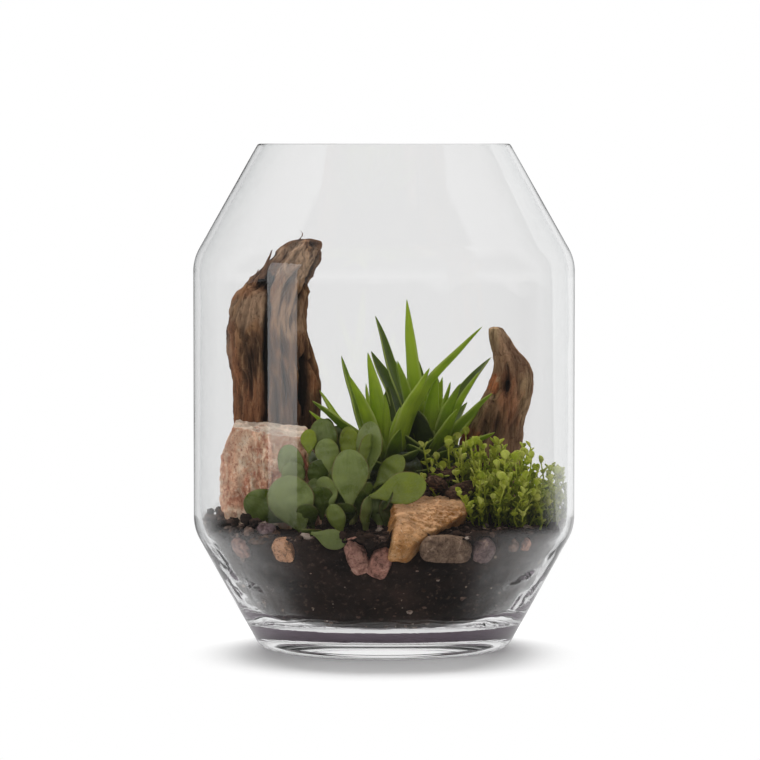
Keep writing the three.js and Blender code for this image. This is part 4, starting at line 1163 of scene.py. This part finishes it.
finishPiece(makeStem("succulentStem", succulentStem, 9), stemGreen, "succulent_stem", "succulent_stem")
for index, leaf in enumerate(succulentLeaves):
    number = f"{index + 1:02d}"
    made = leafCluster("succulentLeaf" + number, [succulentLeaf(leaf, index + 40)])
    finishPiece(made, succulentGreen, "succulent_leaf", "succulent_leaf_" + number)
made = [succulentLeaf(leaf, index + 80) for index, leaf in enumerate(innerLeaves)]
finishPiece(leafCluster("succulentInnerLeaves", made), succulentGreen, "succulent_leaf")
print("succulent made")

creepingSprouts = {
    "middle": (57, -27), "spread": (31, 27), "stalks": 175, "stalkRadius": 0.42, "seed": 5,
    "height": (16, 42), "leafLength": (2.8, 5.2), "leafWidth": 0.9, "pairs": 5,
}


# stalks are bent tubes; leaves are small cupped ovals set in pairs up each stalk, spread widest at its top
def makeSprouts():
    sprouts = creepingSprouts
    chance = np.random.default_rng(sprouts["seed"])
    count, pairs = sprouts["stalks"], sprouts["pairs"]
    turn = chance.uniform(0, 2 * math.pi, count)
    out = np.sqrt(chance.uniform(0, 1, count))
    x = sprouts["middle"][0] + sprouts["spread"][0] * out * np.cos(turn)
    y = sprouts["middle"][1] + sprouts["spread"][1] * out * np.sin(turn)
    inRock = (x < 41) & (y < -36)
    x = np.where(inRock, x + 16, x)
    foot = np.stack([x, y, soilTop(x, y) - 2], axis=-1)
    tall = chance.uniform(*sprouts["height"], count) * (1 - 0.35 * out ** 2)
    lean = np.stack([np.cos(turn) * out, np.sin(turn) * out, np.zeros(count)], axis=-1) * 6
    lean[:, :2] += chance.normal(0, 3, (count, 2))
    bend = np.concatenate([chance.normal(0, 2.2, (count, 2)), np.zeros((count, 1))], axis=-1)
    top = foot + lean + np.array([0, 0, 1]) * tall[:, None]
    keepInJar(top, 4)
    keepInJar(foot, 2.5)
    rows, columns = 8, 6
    along = np.linspace(0, 1, rows)[None, :, None]
    middle = foot[:, None] * (1 - along) + top[:, None] * along + bend[:, None] * np.sin(math.pi * along)
    angle = np.arange(columns) / columns * 2 * math.pi
    ring = np.stack([np.cos(angle), np.sin(angle), np.zeros(columns)], axis=-1) * sprouts["stalkRadius"]
    stalks = keepInJar(middle[:, :, None] + ring * (1.3 - 0.5 * along[..., None]), 0.5)
    # painted shade: each stalk is darker towards its foot
    paintedStalkShade = np.broadcast_to(0.25 + 0.6 * along, stalks.shape[:3])
    leafCount = count * pairs * 2
    stalk = np.repeat(np.arange(count), pairs * 2)
    level = np.tile(np.repeat(1 - 0.17 * np.arange(pairs), 2), count) + chance.normal(0, 0.04, leafCount)
    level = np.clip(level, 0.2, 1.0)
    onTop = level > 0.93
    facing = chance.uniform(0, 2 * math.pi, count)[stalk] + np.tile([0, math.pi], leafCount // 2)
    facing += np.tile(np.repeat(np.arange(pairs) * 1.4, 2), count) + chance.normal(0, 0.35, leafCount)
    lift = np.where(onTop, chance.uniform(0.3, 0.95, leafCount), chance.uniform(0.6, 1.35, leafCount))
    length = chance.uniform(*sprouts["leafLength"], leafCount) * np.where(onTop, 1.0, 0.85)
    lengthShape = length[:, None, None, None]
    part = level[:, None]
    start = foot[stalk] * (1 - part) + top[stalk] * part + bend[stalk] * np.sin(math.pi * part)
    onward = np.stack([np.sin(lift) * np.cos(facing), np.sin(lift) * np.sin(facing), np.cos(lift)], axis=-1)
    sideways = np.stack([-np.sin(facing), np.cos(facing), np.zeros(leafCount)], axis=-1)
    upwards = np.cross(onward, sideways)
    rows, columns = 7, 8
    t = 0.5 - 0.5 * np.cos(np.linspace(0.06, 0.99, rows) * math.pi)
    oval = np.sqrt(np.clip(1 - ((t - 0.58) / 0.43) ** 2, 0.02, 1)) * smoothStep(-0.1, 0.42, t)
    half = oval * sprouts["leafWidth"] / 2
    angle = np.arange(columns) / columns * 2 * math.pi
    u = np.sin(angle)[None, :] * half[:, None]
    v = np.cos(angle)[None, :] * 0.07 - 0.55 * np.abs(u) ** 1.5 - 0.18 * t[:, None] ** 2
    blade = (t[:, None, None] * onward[:, None, None] + u[..., None] * sideways[:, None, None]
             - v[..., None] * upwards[:, None, None]) * lengthShape + start[:, None, None]
    keepInJar(blade, 0.5)
    # painted shade: leaves lower on a stalk are darker; the tone also has a random spread and is brighter
    # towards each leaf's edges
    leafToneAndShade = np.clip(level * 0.95 - 0.12 + chance.normal(0, 0.14, leafCount), 0, 1)
    leafToneAndShade = leafToneAndShade[:, None, None] + 0.12 * np.abs(u) / half.max()
    stems = stackSurface("sproutStalks", stalks * mm, {"tone": paintedStalkShade})
    leaves = stackSurface("sproutLeaves", blade * mm, {"tone": leafToneAndShade})
    return stems, leaves


# yellow-green by each stalk's and leaf's tone, which is darker low down as painted shade, clouded, with light
# coming through
def sproutGreen():
    material, tree, shader, output = startMaterial("sproutGreen", 0.5, 0.25)
    cloudy = noiseNode(tree, objectPlace(tree), 260, 3, 0.6)
    shade = rangeNode(tree, cloudy, 0.3, 0.7, -0.15, 0.15)
    shade = mathNode(tree, "ADD", fieldNode(tree, "tone"), shade, clamp=True)
    color = rampNode(tree, shade, [(0.0, "#363a10"), (0.4, "#777b1e"), (0.75, "#aeb03a"), (1.0, "#d6d372")])
    dressShader(tree, shader, color, cloudy, (0.42, 0.62), bumpNode(tree, cloudy, 0.2, 0.2))
    through = addNode(tree, "BsdfTranslucent", {"Color": mixColor(tree, 0.6, color, "#b4dc30")})
    blendShader(tree, output, 0.4, shader, through)
    return material


stalks, leaves = makeSprouts()
sproutMaterial = sproutGreen()
finishPiece(stalks, sproutMaterial, "creeping_sprouts")
finishPiece(leaves, sproutMaterial, "creeping_sprouts", "creeping_sprouts")
print("sprouts made")

studio = {
    "floorRings": (6.0, 3.0, 1.0, 0.3, 0.1, 0.02), "floorDrop": 0.0002, "floorTone": 0.9,
    "farFrom": 0.115, "farTo": 0.195, "shadowSquash": 1.95,  # where the painted floor turns to plain white
    "frontGlint": 0.07, "backGlint": 1.0, "leftGlint": 0.4,  # the room as it is mirrored
    "nearGlint": 0.6, "floorGlint": 1.1, "underJar": 0.8, "skyGlint": 0.7, "roomLight": 0.31,
    # how far to the back a direction points, from -1 to 1, where the brightness changes
    "rightEdge": (0.5, 0.53), "leftEdge": (0.3, 0.8), "paperEdge": (0.25, 0.5),
    "nearRoomEdge": (-0.85, -0.3), "nearPaperEdge": (-0.75, -0.35),
    "dimBehind": ((0.7, 0.93, 1.0, 0.8), (0.93, 0.99, 1.0, 0.3)),
    "nearJar": (0.35, 0.2), "underFoot": (0.063, 0.06),  # distances on the floor from the jar's middle
    "lightAim": (0, 0, 0.12), "lightRise": (0.02, 0.13), "bounces": (24, 16, 24),
    "lights": {
        "topSoftbox": {"at": (0.0, 0.75, 1.25), "size": (1.1, 1.1), "power": 36, "seen": False},
        "leftSoftbox": {"at": (-0.606, -0.355, 0.23), "size": (0.248, 0.46), "power": 1.0, "seen": True,
                        "fade": (0.15, 1.08)},
        "frontFill": {"at": (-0.5, -1.5, 1.1), "size": (1.1, 1.1), "power": 9, "seen": False},
        "rightFill": {"at": (1.3, -0.3, 0.9), "size": (0.9, 0.9), "power": 4, "seen": False},
    },
}
camera = {"at": (-0.002, -2.141, 0.25), "aim": (-0.002, 0.0, 0.1328), "lens": 204.5, "sensor": 36,
          "clip": (0.05, 50)}


# flat rings from the rim in, closed in the middle only, so one point does for both ends of the stack
def makeFloor(columns=96):
    turn = np.arange(columns) / columns * 2 * math.pi
    radii = np.array(studio["floorRings"])[:, None]
    rings = np.stack([radii * np.cos(turn), radii * np.sin(turn),
                      np.full((len(radii), columns), -studio["floorDrop"])], axis=-1)
    points = np.concatenate([rings.reshape(-1, 3), [[0, 0, -studio["floorDrop"]]]])
    quads, fans = ringFaces(len(radii), columns)
    return putMesh("studioFloor", points, quads, np.minimum(fans[columns:], len(points) - 1))


# how bright the room is in a direction, where it is mirrored: a white backdrop with a sharp edge on the
# right and a soft one on the left, dimmer straight behind, which draws the glass's outline, and dark in
# front. Also gives how far to the back the direction points
def roomLevel(tree, direction):
    depth = partNode(tree, direction, "Y")
    onRight = rangeNode(tree, depth, *studio["rightEdge"], studio["frontGlint"], studio["backGlint"])
    onLeft = rangeNode(tree, depth, *studio["leftEdge"], studio["frontGlint"], studio["leftGlint"])
    right = mathNode(tree, "GREATER_THAN", partNode(tree, direction, "X"), 0.0)
    level = blendNode(tree, right, onLeft, onRight)
    for dim in studio["dimBehind"]:
        level = mathNode(tree, "MULTIPLY", level, rangeNode(tree, depth, *dim))
    return level, depth


# 1 for a ray that has not been mirrored, such as one that comes straight through the glass, and else 0
def straight(tree, rays):
    return mathNode(tree, "LESS_THAN", rays.outputs["Glossy Depth"], 0.5)


# white paint near the object, which takes its shadow, turning to plain white light further out. Straight
# through the glass it is white, and mirrored it is as bright as the room, but for a patch near the jar
def whiteFloor():
    material, tree, shader, output = startMaterial("whiteFloor", 0.9)
    shader.inputs["Base Color"].default_value = (studio["floorTone"],) * 3 + (1,)
    place = addNode(tree, "TexCoord").outputs["Object"]
    away = addNode(tree, "VectorMath", {0: place}, operation="LENGTH").outputs["Value"]
    squashed = objectPlace(tree, (studio["shadowSquash"], 1, 1))
    oval = addNode(tree, "VectorMath", {0: squashed}, operation="LENGTH").outputs["Value"]
    far = rangeNode(tree, oval, studio["farFrom"], studio["farTo"])
    white = addNode(tree, "Emission", {"Color": (1, 1, 1, 1), "Strength": 1.0})
    mixed = addNode(tree, "MixShader", {0: far, 1: shader.outputs[0], 2: white.outputs[0]})
    rays = addNode(tree, "LightPath")
    direction = addNode(tree, "VectorMath", {0: place}, operation="NORMALIZE").outputs[0]
    mirrored, depth = roomLevel(tree, direction)
    beside = rangeNode(tree, depth, *studio["nearRoomEdge"], studio["frontGlint"], studio["nearGlint"])
    near = rangeNode(tree, away, *studio["nearJar"])
    mirrored = mathNode(tree, "MULTIPLY", mirrored, studio["floorGlint"])
    mirrored = blendNode(tree, near, mirrored, beside)
    through = rangeNode(tree, depth, *studio["paperEdge"], studio["frontGlint"], 1.0)
    throughNear = rangeNode(tree, depth, *studio["nearPaperEdge"], studio["frontGlint"], 1.0)
    through = blendNode(tree, near, through, throughNear)
    through = blendNode(tree, straight(tree, rays), through, 1.0)
    under = rangeNode(tree, away, *studio["underFoot"])
    through = blendNode(tree, under, through, studio["underJar"])
    level = blendNode(tree, rays.outputs["Is Transmission Ray"], mirrored, through)
    glint = addNode(tree, "Emission", {"Color": (1, 1, 1, 1), "Strength": level})
    blendShader(tree, output, rays.outputs["Is Glossy Ray"], mixed, glint)
    return material


# a rectangle of light that faces the jar; with a fade it is dim at its lower end and brighter above
def areaLight(name, at, size, power, seen, fade=None):
    light = bpy.data.lights.new(name, "AREA")
    if fade:
        light.use_nodes = True
        tree = light.node_tree
        rise = partNode(tree, addNode(tree, "NewGeometry").outputs["Parametric"], "Y")
        strength = rangeNode(tree, rise, *studio["lightRise"], *fade)
        tree.links.new(strength, tree.nodes["Emission"].inputs["Strength"])
    light.shape = "RECTANGLE"
    light.size, light.size_y = size
    light.energy = power
    lamp = bpy.data.objects.new(name, light)
    bpy.context.scene.collection.objects.link(lamp)
    lamp.location = at
    toJar = np.array(studio["lightAim"]) - np.array(at)
    tip = math.acos(-toJar[2] / np.linalg.norm(toJar))
    lamp.rotation_euler = (tip, 0, math.atan2(toJar[1], toJar[0]) - math.pi / 2)
    lamp.visible_glossy = seen
    lamp.visible_transmission = False


# white where it is looked at, also straight through the glass, as bright as the room where it is
# mirrored, and even where it lights
def makeWorld():
    world = bpy.data.worlds.new("studio")
    bpy.context.scene.world = world
    world.use_nodes = True
    tree = world.node_tree
    tree.nodes.clear()
    output = tree.nodes.new("ShaderNodeOutputWorld")
    mirrored, depth = roomLevel(tree, addNode(tree, "TexCoord").outputs["Generated"])
    through = rangeNode(tree, depth, *studio["paperEdge"], studio["skyGlint"], 1.0)
    rays = addNode(tree, "LightPath")
    through = blendNode(tree, straight(tree, rays), through, 1.0)
    level = blendNode(tree, rays.outputs["Is Transmission Ray"], mirrored, through)
    level = blendNode(tree, rays.outputs["Is Diffuse Ray"], level, studio["roomLight"])
    strength = blendNode(tree, rays.outputs["Is Camera Ray"], level, 1.0)
    sky = addNode(tree, "Background", {"Color": (1, 1, 1, 1), "Strength": strength})
    tree.links.new(sky.outputs[0], output.inputs["Surface"])


floor = makeFloor()
floor.data.materials.append(whiteFloor())
for name, light in studio["lights"].items():
    areaLight(name, **light)
makeWorld()
cycles = bpy.context.scene.cycles  # light goes back and forth many times inside the thick foot
cycles.max_bounces, cycles.glossy_bounces, cycles.transmission_bounces = studio["bounces"]

lens = bpy.data.cameras.new("viewCamera")
lens.lens, lens.sensor_width = camera["lens"], camera["sensor"]
lens.clip_start, lens.clip_end = camera["clip"]
viewer = bpy.data.objects.new("viewCamera", lens)
bpy.context.scene.collection.objects.link(viewer)
viewer.location = camera["at"]
pitch = math.atan2(camera["aim"][2] - camera["at"][2], camera["aim"][1] - camera["at"][1])
viewer.rotation_euler = (math.pi / 2 + pitch, 0, 0)
bpy.context.scene.camera = viewer
bpy.context.scene.view_settings.view_transform = "Standard"
print("studio made")
